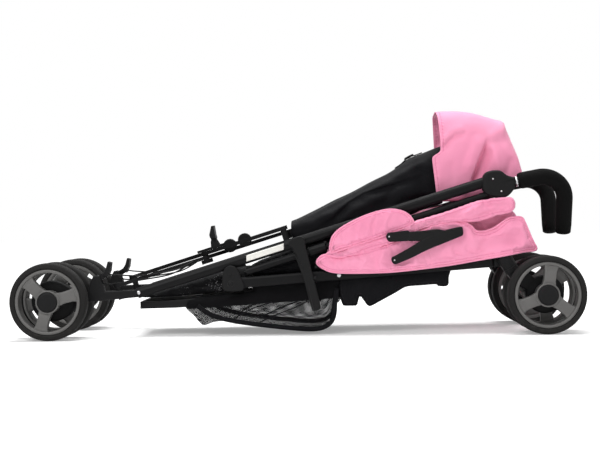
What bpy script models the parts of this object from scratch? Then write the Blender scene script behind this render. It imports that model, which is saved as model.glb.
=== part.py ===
"""A folding stroller, folded and lying on its four pairs of wheels.

X runs along the bundle with the rear wheels at -X, Y runs across it and Z is up.
Sizes are in millimetres and become metres when a mesh is stored.
"""
import math

import bmesh
import bpy
from mathutils import Matrix, Vector

for old in list(bpy.data.objects):
    bpy.data.objects.remove(old, do_unlink=True)

MM = 0.001
GAP = 0.3                  # between pieces that touch
SIDES = {"near": -1, "far": 1}

# Wheels
TYRE_R = 75.0
TYRE_WIDTH = 30.0
RIM_R = TYRE_R - 12.0      # inside of the tyre
RIM_WALL = 7.0
SPOKE_WIDTH = 24.0
SPOKE_DEPTH = 11.0
HUB_R = 21.0
CAP_R = 19.0
CAP_DEPTH = 3.0
AXLE_R = 5.2
BORE_PLAY = 0.4
WHEEL_STEPS = 24
REAR_X = -477.0
FORK_Y = 110.0             # middle of a pair of wheels
FORK_WIDTH = 30.0          # room between the two wheels of a pair
BRAKE_PIVOT = (-390.0, 116.0)
BRAKE_PIN_R = 3.0

# Main tubes, one each side
TUBE_Y = 100.0
TUBE_WIDTH = 16.0
TUBE_HEIGHT = 21.0
TUBE_FOOT = (-312.0, 87.0)
TUBE_SLOPE = math.radians(16.8)
TUBE_LENGTH = 708.0
SEAT_TUBE_R = 7.5
SEAT_TUBE_DROP = 25.0      # below the main tube, square to it
SEAT_TUBE_FOOT_X = -105.0
SLEEVE_R = 11.0
SLEEVE_X = (17.0, 50.0)

# Front legs
HIP = (-128.0, 103.0)
HIP_PIN_R = 5.0
CHEEK = 4.0
LEG_SLOPE = math.radians(3.9)
LEG_LENGTH = 511.0
LEG_HEIGHT = 20.0
FRONT_X = HIP[0] + LEG_LENGTH * math.cos(LEG_SLOPE) + 95.183
STEM_SLOPE = math.radians(-58.5)
STEM_R = 6.0
TRAIL = 28.0
SOCKET_R = 14.5
SOCKET_SPAN = (78.0, 106.0)  # along the stem, up from the point nearest the axle

# Storage latches, each pivoted on its main tube
LATCH_Y = (118.0, 123.0)
LATCH_X = 2.0
LATCH_REACH = (35.0, -120.0)
LATCH_WIDTH = 24.0
LATCH_STUD_RUN = 150.0     # along the front leg

# Cross brace over the main tubes
BRACE_ALONG = 138.0        # from the tube's foot to the brace's middle
BRACE_HALF = 196.0
BRACE_ANGLE = math.radians(29.0)
BRACE_RISE = 22.0
BAR_DEPTH = 7.5
BAR_SPACE = 1.0
BAR_WIDTH = 18.0
BAR_RISES = {"near": BRACE_RISE, "far": BRACE_RISE + BAR_DEPTH + BAR_SPACE}
BRACE_PIN_R = 6.0
POST_R = 6.0

# Handles
HOUSING_Y = (88.0, 112.0)
NECK_R = 9.0
NECK_AT = (57.37, -16.94)  # past the tube's end, and above its middle
NECK_SLOPE = math.radians(10.2)
NECK_RUN = 46.0
HOOK_R = 45.0
HOOK_DROP = 66.0
HOOK_LEAN = math.radians(16.0)
GRIP_R = 16.0
GRIP_START = 12.0

# Fabric
CLOTH_HALF = 91.7          # the fabric between the two frames
PAD_HALF = 92.45           # the seat pad, up against the seat tubes
HOOD_HALF = 78.0
HOOD_CLOTH = 4.0
HOOD_BACK = 37.38          # from the tube's end back to the hood's hinge
HOOD_CLIP_R = 7.0
BOARD_HALF = 84.0
WING_Y = (108.3, 123.5)
BRACKET_Y = (124.0, 129.0)

BLACK = (0.018, 0.018, 0.020)
SATIN = (0.030, 0.030, 0.033)
RIM_GREY = (0.19, 0.175, 0.175)
PINK = (0.86, 0.33, 0.47)
MESH_BLACK = (0.045, 0.045, 0.05)


def along_tube(run, rise):
    """X and Z of a point run along the main tube from its foot and rise above its middle."""
    c, s = math.cos(TUBE_SLOPE), math.sin(TUBE_SLOPE)
    return (TUBE_FOOT[0] + run * c - rise * s, TUBE_FOOT[1] + run * s + rise * c)


def tube_z(x):
    """Height of the main tube's middle at x."""
    return TUBE_FOOT[1] + (x - TUBE_FOOT[0]) * math.tan(TUBE_SLOPE)


def circle(centre, radius, steps=16, phase=0.0):
    """Points of a circle in X and Z."""
    turn = [phase + 2 * math.pi * k / steps for k in range(steps)]
    return [(centre[0] + radius * math.cos(t), centre[1] + radius * math.sin(t)) for t in turn]


def hull(points):
    """Convex outline round a set of points, counter-clockwise."""
    points = sorted(set((round(x, 6), round(z, 6)) for x, z in points))

    def half(order):
        kept = []
        for p in order:
            while len(kept) > 1:
                a, b = kept[-2], kept[-1]
                if (b[0] - a[0]) * (p[1] - a[1]) - (b[1] - a[1]) * (p[0] - a[0]) > 1e-6:
                    break
                kept.pop()
            kept.append(p)
        return kept[:-1]

    return half(points) + half(points[::-1])


def inset(outline, amount):
    """Move every corner of a counter-clockwise outline inwards along its mitre."""
    moved = []
    count = len(outline)
    for k in range(count):
        before, here, after = (Vector(outline[(k + j) % count]) for j in (-1, 0, 1))
        first = (here - before).normalized()
        second = (after - here).normalized()
        n1 = Vector((-first.y, first.x))
        n2 = Vector((-second.y, second.x))
        mitre = (n1 + n2) / max(1.0 + n1.dot(n2), 0.5)
        moved.append(tuple(here + mitre * amount))
    return moved


def area(outline):
    """Signed area of an outline, positive when counter-clockwise."""
    total = 0.0
    for (x0, z0), (x1, z1) in zip(outline, outline[1:] + outline[:1]):
        total += x0 * z1 - x1 * z0
    return total / 2


def chain(rings, closed=False):
    """Skin a row of rings with quads. An open row gets a flat cap at each end."""
    bm = bmesh.new()
    rows = [[bm.verts.new(p) for p in ring] for ring in rings]
    pairs = list(zip(rows, rows[1:]))
    if closed:
        pairs.append((rows[-1], rows[0]))
    for low, high in pairs:
        for k in range(len(low)):
            m = (k + 1) % len(low)
            bm.faces.new((low[k], low[m], high[m], high[k]))
    if not closed:
        bm.faces.new(rows[0])
        bm.faces.new(rows[-1])
    bmesh.ops.recalc_face_normals(bm, faces=bm.faces)
    return bm


def slab(outline, y0, y1, roll=0.0, holes=(), roll_steps=2):
    """Extrude an X-Z outline across Y, with rims rolled to a radius and straight through holes."""
    if area(outline) < 0:
        outline = outline[::-1]
    y0, y1 = sorted((y0, y1))
    levels = []
    steps = roll_steps if roll > 0 else 0
    for k in range(steps + 1):
        turn = math.pi / 2 * k / max(steps, 1)
        levels.append((roll * (1 - math.sin(turn)), roll * (1 - math.cos(turn))))
    rings = [(y0 + depth, inset(outline, shrink)) for shrink, depth in levels]
    rings += [(y1 - depth, inset(outline, shrink)) for shrink, depth in reversed(levels)]
    bm = bmesh.new()
    caps = ([], [])
    for loops in [rings] + [[(y0, list(h)), (y1, list(h))] for h in holes]:
        rows = [[bm.verts.new((x, y, z)) for x, z in loop] for y, loop in loops]
        for low, high in zip(rows, rows[1:]):
            for k in range(len(low)):
                m = (k + 1) % len(low)
                bm.faces.new((low[k], low[m], high[m], high[k]))
        for cap, row in zip(caps, (rows[0], rows[-1])):
            cap += [bm.edges.get((a, b)) for a, b in zip(row, row[1:] + row[:1])]
    for cap in caps:
        bmesh.ops.triangle_fill(bm, use_beauty=True, edges=cap)
    bmesh.ops.recalc_face_normals(bm, faces=bm.faces)
    return bm


def turned(profile, centre, axis, steps, phase=0.0, closed=True):
    """Revolve a (radius, distance along the axis) profile. A closed one makes a ring."""
    axis = Vector(axis).normalized()
    side = Vector((0, 1, 0)) if abs(axis.y) < 0.9 else Vector((1, 0, 0))
    u = side.cross(axis).normalized() if abs(axis.y) < 0.9 else side
    v = axis.cross(u)
    centre = Vector(centre)
    rings = []
    for radius, run in profile:
        ring = []
        for k in range(steps):
            turn = phase + 2 * math.pi * k / steps
            out = u * (radius * math.cos(turn)) + v * (radius * math.sin(turn))
            ring.append(centre + axis * run + out)
        rings.append(ring)
    return chain(rings, closed)


def rod(start, end, radius, steps=12):
    """A round bar from start to end."""
    start, end = Vector(start), Vector(end)
    return turned([(radius, 0.0), (radius, (end - start).length)], start, end - start, steps, closed=False)


def swept(path, across, sizes, steps=12):
    """Rings of an oval carried along a path that lies square to across."""
    across = Vector(across).normalized()
    rings = []
    for k, point in enumerate(path):
        run = Vector(path[min(k + 1, len(path) - 1)]) - Vector(path[max(k - 1, 0)])
        up = across.cross(run).normalized()
        wide, tall = sizes[k] if isinstance(sizes, list) else sizes
        ring = []
        for j in range(steps):
            turn = 2 * math.pi * (j + 0.5) / steps
            ring.append(Vector(point) + across * (wide * math.cos(turn)) + up * (tall * math.sin(turn)))
        rings.append(ring)
    return rings


def combined(base, joins=(), cuts=()):
    """Join solids to a base and cut others from it with exact Booleans. Returns one mesh."""
    def temporary(bm):
        mesh = bpy.data.meshes.new("shape")
        bm.to_mesh(mesh)
        bm.free()
        item = bpy.data.objects.new("shape", mesh)
        bpy.context.collection.objects.link(item)
        item.hide_render = True
        item.display_type = "WIRE"
        return item

    body = temporary(base)
    tools = [(temporary(bm), "UNION") for bm in joins] + [(temporary(bm), "DIFFERENCE") for bm in cuts]
    for tool, way in tools:
        step = body.modifiers.new("shape", "BOOLEAN")
        step.operation = way
        step.solver = "EXACT"
        step.object = tool
    bpy.context.view_layer.update()
    ready = body.evaluated_get(bpy.context.evaluated_depsgraph_get())
    mesh = bpy.data.meshes.new_from_object(ready)
    for item in [body] + [tool for tool, _ in tools]:
        bpy.data.objects.remove(item, do_unlink=True)
    bm = bmesh.new()
    bm.from_mesh(mesh)
    bmesh.ops.remove_doubles(bm, verts=bm.verts, dist=0.002)
    bmesh.ops.dissolve_limit(bm, angle_limit=math.radians(0.3), verts=bm.verts, edges=bm.edges)
    bmesh.ops.triangulate(bm, faces=bm.faces)
    return bm


def add(name, bm, colour, roughness=0.55, metallic=0.0, pivot=(0.0, 0.0, 0.0)):
    """Store a solid as a named object with its own material and its origin on its pivot."""
    bmesh.ops.translate(bm, verts=bm.verts, vec=-Vector(pivot))
    bmesh.ops.scale(bm, verts=bm.verts, vec=(MM, MM, MM))
    bmesh.ops.recalc_face_normals(bm, faces=bm.faces)
    mesh = bpy.data.meshes.new(name)
    bm.to_mesh(mesh)
    bm.free()
    mesh.shade_smooth()
    mesh.set_sharp_from_angle(angle=math.radians(35))
    item = bpy.data.objects.new(name, mesh)
    item.location = Vector(pivot) * MM
    bpy.context.collection.objects.link(item)
    look = bpy.data.materials.new(name)
    look.use_nodes = True
    shader = look.node_tree.nodes["Principled BSDF"]
    shader.inputs["Base Color"].default_value = (*colour, 1.0)
    shader.inputs["Roughness"].default_value = roughness
    shader.inputs["Metallic"].default_value = metallic
    mesh.materials.append(look)
    return item


def wheel_shapes():
    """Tyre and three-spoke rim about the origin, the rim's open face to +Y."""
    half = TYRE_WIDTH / 2
    seat = (RIM_R + GAP) / math.cos(math.pi / WHEEL_STEPS)
    profile = [(seat, -half + 2), (TYRE_R - 6, -half), (TYRE_R - 2, -half + 4), (TYRE_R, -half + 9)]
    profile += [(r, -run) for r, run in reversed(profile)]
    tyre = turned(profile, (0, 0, 0), (0, 1, 0), WHEEL_STEPS)

    wide = half - 2
    floor = RIM_R - RIM_WALL
    barrel = [(RIM_R, -wide), (RIM_R, wide), (floor, wide), (floor, -wide)]
    inner = HUB_R + 4.0
    outer = floor - 3.0
    windows = []
    for k in range(3):
        start = k * 2 * math.pi / 3
        window = []
        for radius, count, back in ((outer, 6, False), (inner, 3, True)):
            edge = math.asin(SPOKE_WIDTH / 2 / radius)
            span = 2 * math.pi / 3 - 2 * edge
            order = [start + edge + span * j / (count - 1) for j in range(count)]
            window += [(radius * math.cos(t), radius * math.sin(t)) for t in (order[::-1] if back else order)]
        windows.append(window)
    face = wide - 4.5
    disc = circle((0, 0), floor + 2.5, WHEEL_STEPS, math.pi / WHEEL_STEPS)
    spokes = slab(disc, face - SPOKE_DEPTH, face, 0.0, windows)
    reach = half - GAP
    hub = rod((0, -reach, 0), (0, reach, 0), HUB_R, 16)
    bore = rod((0, -half, 0), (0, half, 0), AXLE_R + BORE_PLAY, 10)
    ring = turned(barrel, (0, 0, 0), (0, 1, 0), WHEEL_STEPS)
    rim = combined(ring, [spokes, hub], [bore])
    shapes = []
    for bm in (tyre, rim):
        mesh = bpy.data.meshes.new("wheel")
        bm.to_mesh(mesh)
        bm.free()
        shapes.append(mesh)
    return shapes


TYRE_SHAPE, RIM_SHAPE = wheel_shapes()


def wheel(name, x, y, side, spoke_turn):
    """A tyre on its rim, open face outwards, one spoke turned anticlockwise from +X by spoke_turn."""
    centre = (x, y, TYRE_R)
    flip = math.pi if side < 0 else 0.0
    turn = Matrix.Rotation(flip - spoke_turn, 4, "Y") @ Matrix.Rotation(flip, 4, "Z")
    looks = (("tyre_", TYRE_SHAPE, Matrix(), BLACK, 0.75), ("rim_", RIM_SHAPE, turn, RIM_GREY, 0.45))
    for start, shape, way, colour, roughness in looks:
        bm = bmesh.new()
        bm.from_mesh(shape)
        bm.transform(Matrix.Translation(centre) @ way)
        add(start + name, bm, colour, roughness, 0.0, centre)


def axle(name, x, side):
    """The axle of a pair of wheels, with its wide outer cap and its small inner head."""
    inside = FORK_Y - FORK_WIDTH / 2 - TYRE_WIDTH
    outside = FORK_Y + FORK_WIDTH / 2 + TYRE_WIDTH
    profile = [(3.0, inside - 3), (8.5, inside - 2), (8.5, inside), (AXLE_R, inside)]
    profile += [(AXLE_R, outside), (CAP_R, outside), (CAP_R, outside + 1.5), (CAP_R - 3, outside + CAP_DEPTH)]
    bm = turned(profile, (x, 0, TYRE_R), (0, side, 0), 16, closed=False)
    add(name, bm, BLACK, 0.4, 0.0, (x, side * FORK_Y, TYRE_R))


def post(run, rise0, rise1, y, radius):
    """A round post square to the main tube's top, run along it from its foot."""
    low, high = along_tube(run, rise0), along_tube(run, rise1)
    return rod((low[0], y, low[1]), (high[0], y, high[1]), radius)


def cross_rod(at, side, y0, y1, radius, steps=12):
    """A round rod across the bundle at an X-Z point, between two distances from the middle."""
    return rod((at[0], side * y0, at[1]), (at[0], side * y1, at[1]), radius, steps)


def rear_end(word, side):
    """Fork arm, axle, brake pedal and both wheels of one rear corner."""
    hub_at = (REAR_X, TYRE_R)
    arm = [along_tube(-GAP, 7.5), (-374, 92), (-380, 112), (-384, 123), (-396, 123), (-402, 112)]
    arm += [(-408, 90), (REAR_X + 12, TYRE_R + 9), (REAR_X + 12, TYRE_R - 9), (-400, 72)]
    arm.append(along_tube(-GAP, -7.5))
    lift = BAR_RISES[word] - GAP
    low = BRACE_ALONG - BRACE_HALF * math.cos(BRACE_ANGLE)
    solid = slab(arm, side * (FORK_Y - 13), side * (FORK_Y + 3), 2.0)
    boss = cross_rod(hub_at, side, FORK_Y - FORK_WIDTH / 2, FORK_Y + FORK_WIDTH / 2, 15.0, 16)
    stand = post(low, -2, lift, side * (FORK_Y - 12), POST_R)
    slot_y = (FORK_Y - 10, FORK_Y)
    room = hull(circle(BRAKE_PIVOT, 10.5, 12) + [(-366, 105), (-366, 132)])
    slot = slab(room, side * slot_y[0], side * slot_y[1])
    bore = cross_rod(hub_at, side, FORK_Y - 20, FORK_Y + 20, AXLE_R + BORE_PLAY)
    bm = combined(solid, [boss, stand], [bore, slot])
    pin = cross_rod(BRAKE_PIVOT, side, slot_y[0] - 1, slot_y[1] + 1, BRAKE_PIN_R)
    add("rear_fork_" + word, combined(bm, [pin]), SATIN, 0.5, 0.0)

    blade = [(-378, 125), (-371, 136), (-367, 150), (-361, 148), (-363, 132), (-369, 119)]
    thin = [side * (slot_y[0] + BORE_PLAY), side * (slot_y[1] - BORE_PLAY)]
    pedal = slab(circle(BRAKE_PIVOT, 8.0, 12), *thin)
    neck = slab([(-388, 122), (-374, 130), (-368, 122), (-386, 110)], *thin)
    fin = slab(blade, side * (FORK_Y - 17), side * (FORK_Y + 7), 1.5)
    hole = cross_rod(BRAKE_PIVOT, side, FORK_Y - 20, FORK_Y + 10, BRAKE_PIN_R + BORE_PLAY)
    pivot = (BRAKE_PIVOT[0], side * (FORK_Y - 5), BRAKE_PIVOT[1])
    add("brake_pedal_" + word, combined(pedal, [neck, fin], [hole]), BLACK, 0.5, 0.0, pivot)

    axle("rear_axle_" + word, REAR_X, side)
    pitch = (FORK_WIDTH + TYRE_WIDTH) / 2
    for place, shift, turn in (("outer", pitch, 15.0), ("inner", -pitch, 70.0)):
        wheel("rear_%s_%s" % (word, place), REAR_X, side * (FORK_Y + shift), side, math.radians(turn))


def long_tubes(word, side):
    """Main tube, the thinner seat tube beside it, and the hip bracket that joins them."""
    y = side * TUBE_Y
    ends = [along_tube(0, 0), along_tube(TUBE_LENGTH, 0)]
    path = [(x, y, z) for x, z in ends]
    bm = chain(swept(path, (0, 1, 0), (TUBE_WIDTH / 2, TUBE_HEIGHT / 2), 16))
    add("main_tube_" + word, bm, SATIN, 0.35, 0.6)

    start = (SEAT_TUBE_FOOT_X - TUBE_FOOT[0]) / math.cos(TUBE_SLOPE)
    marks = [(start, SEAT_TUBE_R)]
    for x, r0, r1 in ((SLEEVE_X[0], SEAT_TUBE_R, SLEEVE_R), (SLEEVE_X[1], SLEEVE_R, SEAT_TUBE_R)):
        run = (x - TUBE_FOOT[0]) / math.cos(TUBE_SLOPE)
        marks += [(run, r0), (run + 2, r1)]
    marks.append((TUBE_LENGTH, SEAT_TUBE_R))
    path = [(p[0], y, p[1]) for p in (along_tube(run, -SEAT_TUBE_DROP) for run, _ in marks)]
    body = chain(swept(path, (0, 1, 0), [(r, r) for _, r in marks], 12))
    lug = slab([(173, 183), (189, 183), (189, 206), (173, 206)], side * 97.0, side * 108.0, 1.5)
    add("seat_tube_" + word, combined(body, [lug]), SATIN, 0.35, 0.6)

    cheek = [(-144, 97), (-138, 90), (-128, 88), (-118, 90), (-110, 98), (-96, 118), (-94, 152), (-148, 136)]
    outer_y = TUBE_Y + TUBE_WIDTH / 2 + GAP
    inner_y = TUBE_Y - TUBE_WIDTH / 2 - GAP
    outer = slab(cheek, side * outer_y, side * (outer_y + CHEEK), 1.0)
    inner = slab(cheek, side * inner_y, side * (inner_y - CHEEK), 1.0)
    pin = rod((HIP[0], side * (inner_y - 1), HIP[1]), (HIP[0], side * (outer_y + 1), HIP[1]), HIP_PIN_R)
    add("hip_bracket_" + word, combined(outer, [pin, inner]), BLACK, 0.5, 0.0)


def stem_point(run, off=0.0):
    """A point run up the caster stem's line from abreast the axle, and off towards the front of it."""
    c, s = math.cos(STEM_SLOPE), math.sin(STEM_SLOPE)
    foot = (FRONT_X + TRAIL * s, TYRE_R - TRAIL * c)
    return (foot[0] - run * c - off * s, foot[1] - run * s + off * c)


def front_end(word, side):
    """Front leg with its socket, the swivelling fork, its axle and both wheels."""
    c, s = math.cos(LEG_SLOPE), math.sin(LEG_SLOPE)

    def leg_point(run, off):
        return (HIP[0] + run * c - off * s, HIP[1] + run * s + off * c)

    half = LEG_HEIGHT / 2
    outline = hull(circle(HIP, half + 0.5, 16) + [leg_point(LEG_LENGTH, -half), leg_point(LEG_LENGTH, half)])
    hole = circle(HIP, HIP_PIN_R + BORE_PLAY, 12)
    y0, y1 = side * (TUBE_Y - TUBE_WIDTH / 2), side * (TUBE_Y + TUBE_WIDTH / 2)
    leg = slab(outline, y0, y1, 4.0, [hole])
    stud = cross_rod(leg_point(LATCH_STUD_RUN, 0.0), side, TUBE_Y + 4, LATCH_Y[0] - GAP, 5.0)
    add("front_leg_" + word, combined(leg, [stud]), SATIN, 0.35, 0.6, (HIP[0], side * TUBE_Y, HIP[1]))

    low, high = (stem_point(run) for run in SOCKET_SPAN)
    axis = Vector((low[0] - high[0], 0, low[1] - high[1]))
    length = axis.length
    shape = [(SOCKET_R - 3, 0), (SOCKET_R, 3), (SOCKET_R, length)]
    cup = turned(shape, (high[0], side * FORK_Y, high[1]), axis, 16, closed=False)
    joint = [leg_point(LEG_LENGTH + GAP, -half), leg_point(LEG_LENGTH + GAP, half)]
    joint += [stem_point(SOCKET_SPAN[1] - 4), stem_point(SOCKET_SPAN[0] + 4)]
    web = slab(hull(joint), side * 93.0, side * 109.0, 1.5)
    deep = SOCKET_SPAN[1] - 6
    a, b = stem_point(deep), stem_point(SOCKET_SPAN[0] - 2)
    bore = rod((a[0], side * FORK_Y, a[1]), (b[0], side * FORK_Y, b[1]), STEM_R + BORE_PLAY)
    add("caster_socket_" + word, combined(cup, [web], [bore]), BLACK, 0.5, 0.0)

    crown = SOCKET_SPAN[0] - GAP
    hub_at = (FRONT_X, TYRE_R)
    outline = hull(circle(hub_at, 14.0, 14)
                   + [stem_point(crown - 2, -12), stem_point(crown - 2, 12), stem_point(crown - 22, -12)])
    arm = slab(outline, side * (FORK_Y - 11), side * (FORK_Y + 11), 3.0)
    a, b = stem_point(crown - 10), stem_point(deep - 1)
    stem = rod((a[0], side * FORK_Y, a[1]), (b[0], side * FORK_Y, b[1]), STEM_R)
    b = stem_point(crown)
    a = stem_point(crown - 8)
    collar = rod((a[0], side * FORK_Y, a[1]), (b[0], side * FORK_Y, b[1]), SOCKET_R, 16)
    boss = cross_rod(hub_at, side, FORK_Y - FORK_WIDTH / 2, FORK_Y + FORK_WIDTH / 2, 12.0, 16)
    bore = cross_rod(hub_at, side, FORK_Y - 20, FORK_Y + 20, AXLE_R + BORE_PLAY)
    bm = combined(arm, [boss, collar, stem], [bore])
    top = stem_point(crown)
    add("caster_fork_" + word, bm, BLACK, 0.5, 0.0, (top[0], side * FORK_Y, top[1]))

    axle("front_axle_" + word, FRONT_X, side)
    pitch = (FORK_WIDTH + TYRE_WIDTH) / 2
    for place, shift, turn in (("outer", pitch, 82.0), ("inner", -pitch, 40.0)):
        wheel("front_%s_%s" % (word, place), FRONT_X, side * (FORK_Y + shift), side, math.radians(turn))


def latch(word, side):
    """Flat storage latch, pivoted on the main tube and reaching down over a stud on the front leg."""
    pivot = (LATCH_X, tube_z(LATCH_X))
    run = Vector(LATCH_REACH).normalized()
    across = Vector((-run.y, run.x)) * (LATCH_WIDTH / 2)
    ends = [Vector(pivot) - run * 10, Vector(pivot) + Vector(LATCH_REACH)]
    outline = [tuple(p) for p in (ends[0] - across, ends[1] - across, ends[1] + across, ends[0] + across)]
    bar = slab(outline, side * LATCH_Y[0], side * LATCH_Y[1], 1.5)
    boss = cross_rod(pivot, side, TUBE_Y + TUBE_WIDTH / 2 + GAP, LATCH_Y[0] + 1, 6.0)
    place = (pivot[0], side * (LATCH_Y[0] + 2), pivot[1])
    add("storage_latch_" + word, combined(bar, [boss]), BLACK, 0.5, 0.0, place)


def handle(word, side):
    """Hinge housing at the tube's end, handle tube and its hooked foam grip."""
    neck_at = along_tube(TUBE_LENGTH + NECK_AT[0], NECK_AT[1])
    c, s = math.cos(NECK_SLOPE), math.sin(NECK_SLOPE)
    face = [(neck_at[0] - GAP * c - off * s, neck_at[1] - GAP * s + off * c) for off in (13.0, -14.0)]
    outline = [along_tube(TUBE_LENGTH + run, rise) for run, rise in ((GAP, -34), (GAP, 13), (25, 18))]
    outline += [*face, along_tube(TUBE_LENGTH + 34, -41)]
    housing = slab(outline, side * HOUSING_Y[0], side * HOUSING_Y[1], 3.0)
    add("handle_hinge_" + word, housing, BLACK, 0.5, 0.0)

    start = Vector((neck_at[0], 0, neck_at[1]))
    run = Vector((math.cos(NECK_SLOPE), 0, math.sin(NECK_SLOPE)))
    down = Vector((run.z, 0, -run.x))
    turn_centre = start + run * NECK_RUN + down * HOOK_R
    path = [start, start + run * GRIP_START, start + run * (GRIP_START + 1)]
    path.append(start + run * (NECK_RUN - 8))
    bend = math.pi / 2 + NECK_SLOPE
    for k in range(9):
        t = bend * k / 8
        path.append(turn_centre - down * (HOOK_R * math.cos(t)) + run * (HOOK_R * math.sin(t)))
    path += [path[-1] + Vector((0, 0, -d)) for d in (HOOK_DROP / 3, HOOK_DROP * 2 / 3, HOOK_DROP)]
    lean = Matrix.Rotation(-side * HOOK_LEAN, 3, run)
    path = [start + lean @ (p - start) + Vector((0, side * TUBE_Y, 0)) for p in path]
    across = lean @ Vector((0, 1, 0))
    tip = (path[-1] - path[-2]).normalized()

    inner = path[:-1] + [path[-1] - tip * 8]
    tube = chain(swept(inner, across, (NECK_R, NECK_R), 10))
    pivot = tuple(path[0])
    add("handle_tube_" + word, tube, SATIN, 0.35, 0.6, pivot)

    bore_r = NECK_R + BORE_PLAY
    bore_path = path[1:-1] + [path[-1] - tip * 7]
    bore = swept(bore_path, across, (bore_r, bore_r), 10)
    ends = path[1:2] + path[2:] + [path[-1] + tip * 3, path[-1] + tip * 5]
    radii = [GRIP_R - 2] + [GRIP_R] * (len(path) - 2) + [GRIP_R - 3, GRIP_R - 9]
    skin = swept(ends, across, [(r, r) for r in radii], 10)
    add("handle_grip_" + word, chain(bore[::-1] + skin), BLACK, 0.85, 0.0, pivot)


def brace():
    """Crossed bars over the tubes, the hub they turn on and the fold pedal."""
    e1 = Vector((math.cos(TUBE_SLOPE), 0, math.sin(TUBE_SLOPE)))
    e3 = Vector((-math.sin(TUBE_SLOPE), 0, math.cos(TUBE_SLOPE)))
    middle = along_tube(BRACE_ALONG, 0)
    lay = Matrix(((e1.x, -e3.x, 0, middle[0]), (0, 0, 1, 0), (e1.z, -e3.z, 0, middle[1]), (0, 0, 0, 1)))
    top_rise = TUBE_HEIGHT / 2 + GAP
    for word, side in SIDES.items():
        rise = BAR_RISES[word]
        c = BRACE_HALF * math.cos(BRACE_ANGLE)
        s = -side * BRACE_HALF * math.sin(BRACE_ANGLE)
        outline = hull(circle((c, s), BAR_WIDTH / 2, 12) + circle((-c, -s), BAR_WIDTH / 2, 12))
        hole = circle((0, 0), BRACE_PIN_R + BORE_PLAY, 12)
        bar = slab(outline, -rise, -rise - BAR_DEPTH, 0.0, [hole])
        bar.transform(lay)
        shoe = post(BRACE_ALONG + c, top_rise, rise + 2, s, POST_R)
        centre = along_tube(BRACE_ALONG, rise)
        pivot = (centre[0], 0, centre[1])
        add("brace_bar_" + word, combined(bar, [shoe]), SATIN, 0.4, 0.5, pivot)

    top = BRACE_RISE + 2 * BAR_DEPTH + BAR_SPACE + GAP
    pin = post(BRACE_ALONG, BRACE_RISE - GAP - 6, top + 3, 0, BRACE_PIN_R)
    foot = post(BRACE_ALONG, BRACE_RISE - GAP - 8, BRACE_RISE - GAP, 0, 12.0)
    plate = [along_tube(BRACE_ALONG + run, rise) for run, rise in
             ((-13, top), (42, top), (42, top + 5), (-13, top + 5))]
    yoke = slab(plate, -9.0, 9.0, 0.0)
    lobes = [along_tube(BRACE_ALONG + run, rise) for run, rise in ((54.0, 34.0), (86.0, 36.0))]
    discs = [slab(circle(p, 14.0, 16), -7.0, 7.0, 2.0) for p in lobes]
    web = slab(hull([*lobes, *plate[1:3]]), -5.0, 5.0)
    pedal_at = along_tube(BRACE_ALONG + 26, top + 13)
    ears = []
    for y in (-9.0, 6.3):
        root = [along_tube(BRACE_ALONG + run, top + 2) for run in (16, 36)]
        ears.append(slab(hull(circle(pedal_at, 7.0, 12) + root), y, y + 2.7))
    pedal_pin = rod((pedal_at[0], -8.0, pedal_at[1]), (pedal_at[0], 8.0, pedal_at[1]), 3.0)
    hub = combined(pin, [foot, yoke, *ears, pedal_pin, web, *discs])
    add("brace_hub", hub, BLACK, 0.5, 0.0, (pedal_at[0], 0, pedal_at[1]))

    eye = slab(circle(pedal_at, 6.5, 12), -6.0, 6.0)
    x, z = pedal_at
    blade = [(x - 6, z + 3), (x - 9, z + 14), (x - 5, z + 32), (x, z + 33), (x + 3, z + 14), (x + 6, z + 3)]
    fin = slab(blade, -17.0, 17.0, 1.5)
    clear = slab([(x - 12, z - 9), (x - 12, z + 7.6), (x + 12, z + 7.6), (x + 12, z - 9)], 6.0, 20.0)
    clear_far = slab([(x - 12, z - 9), (x - 12, z + 7.6), (x + 12, z + 7.6), (x + 12, z - 9)], -20.0, -6.0)
    hole = rod((x, -10, z), (x, 10, z), 3.4)
    add("fold_pedal", combined(fin, [eye], [clear, clear_far, hole]), BLACK, 0.5, 0.0, (x, 0, z))


def soft_panel(outline, y0, y1, roll):
    """A padded panel with well-rolled rims."""
    return slab(outline, y0, y1, roll, (), 2)


def side_fabric(word, side):
    """The padded wing and seat side that wrap outside one frame, and the bracket riveted over them."""
    y0, y1 = side * WING_Y[0], side * WING_Y[1]
    wing = [(68, 184), (74, 176), (100, 178), (140, 186), (168, 197), (192, 201), (222, 205), (230, 220)]
    wing += [(220, 237), (188, 245), (150, 242), (112, 231), (86, 215), (73, 200)]
    add("side_wing_" + word, soft_panel(wing, y0, y1, 6.0), PINK, 0.9, 0.0)
    lobe = [(40, 141), (46, 129), (62, 124), (120, 122), (181, 123), (260, 130), (335, 141), (376, 158)]
    lobe += [(420, 171), (458, 172), (464, 180), (456, 204), (438, 224), (400, 228), (330, 216), (240, 200)]
    lobe += [(196, 186), (166, 183), (140, 180), (100, 171), (66, 162), (48, 153)]
    add("seat_side_" + word, soft_panel(lobe, y0, y1, 6.0), PINK, 0.9, 0.0)

    arm = [(174, 186), (190, 184), (228, 190), (196, 152), (186, 150), (186, 140), (199, 138), (252, 182)]
    arm += [(320, 191), (324, 207), (262, 207), (240, 204), (222, 206), (190, 200), (174, 199)]
    bar = slab(arm, side * BRACKET_Y[0], side * BRACKET_Y[1], 1.0)
    reach = side * (TUBE_Y + TUBE_WIDTH / 2 + GAP)
    boss = rod((181, reach, 192), (181, side * (BRACKET_Y[0] + 1), 192), 4.5)
    add("seat_bracket_" + word, combined(bar, [boss]), BLACK, 0.5, 0.0)


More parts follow.
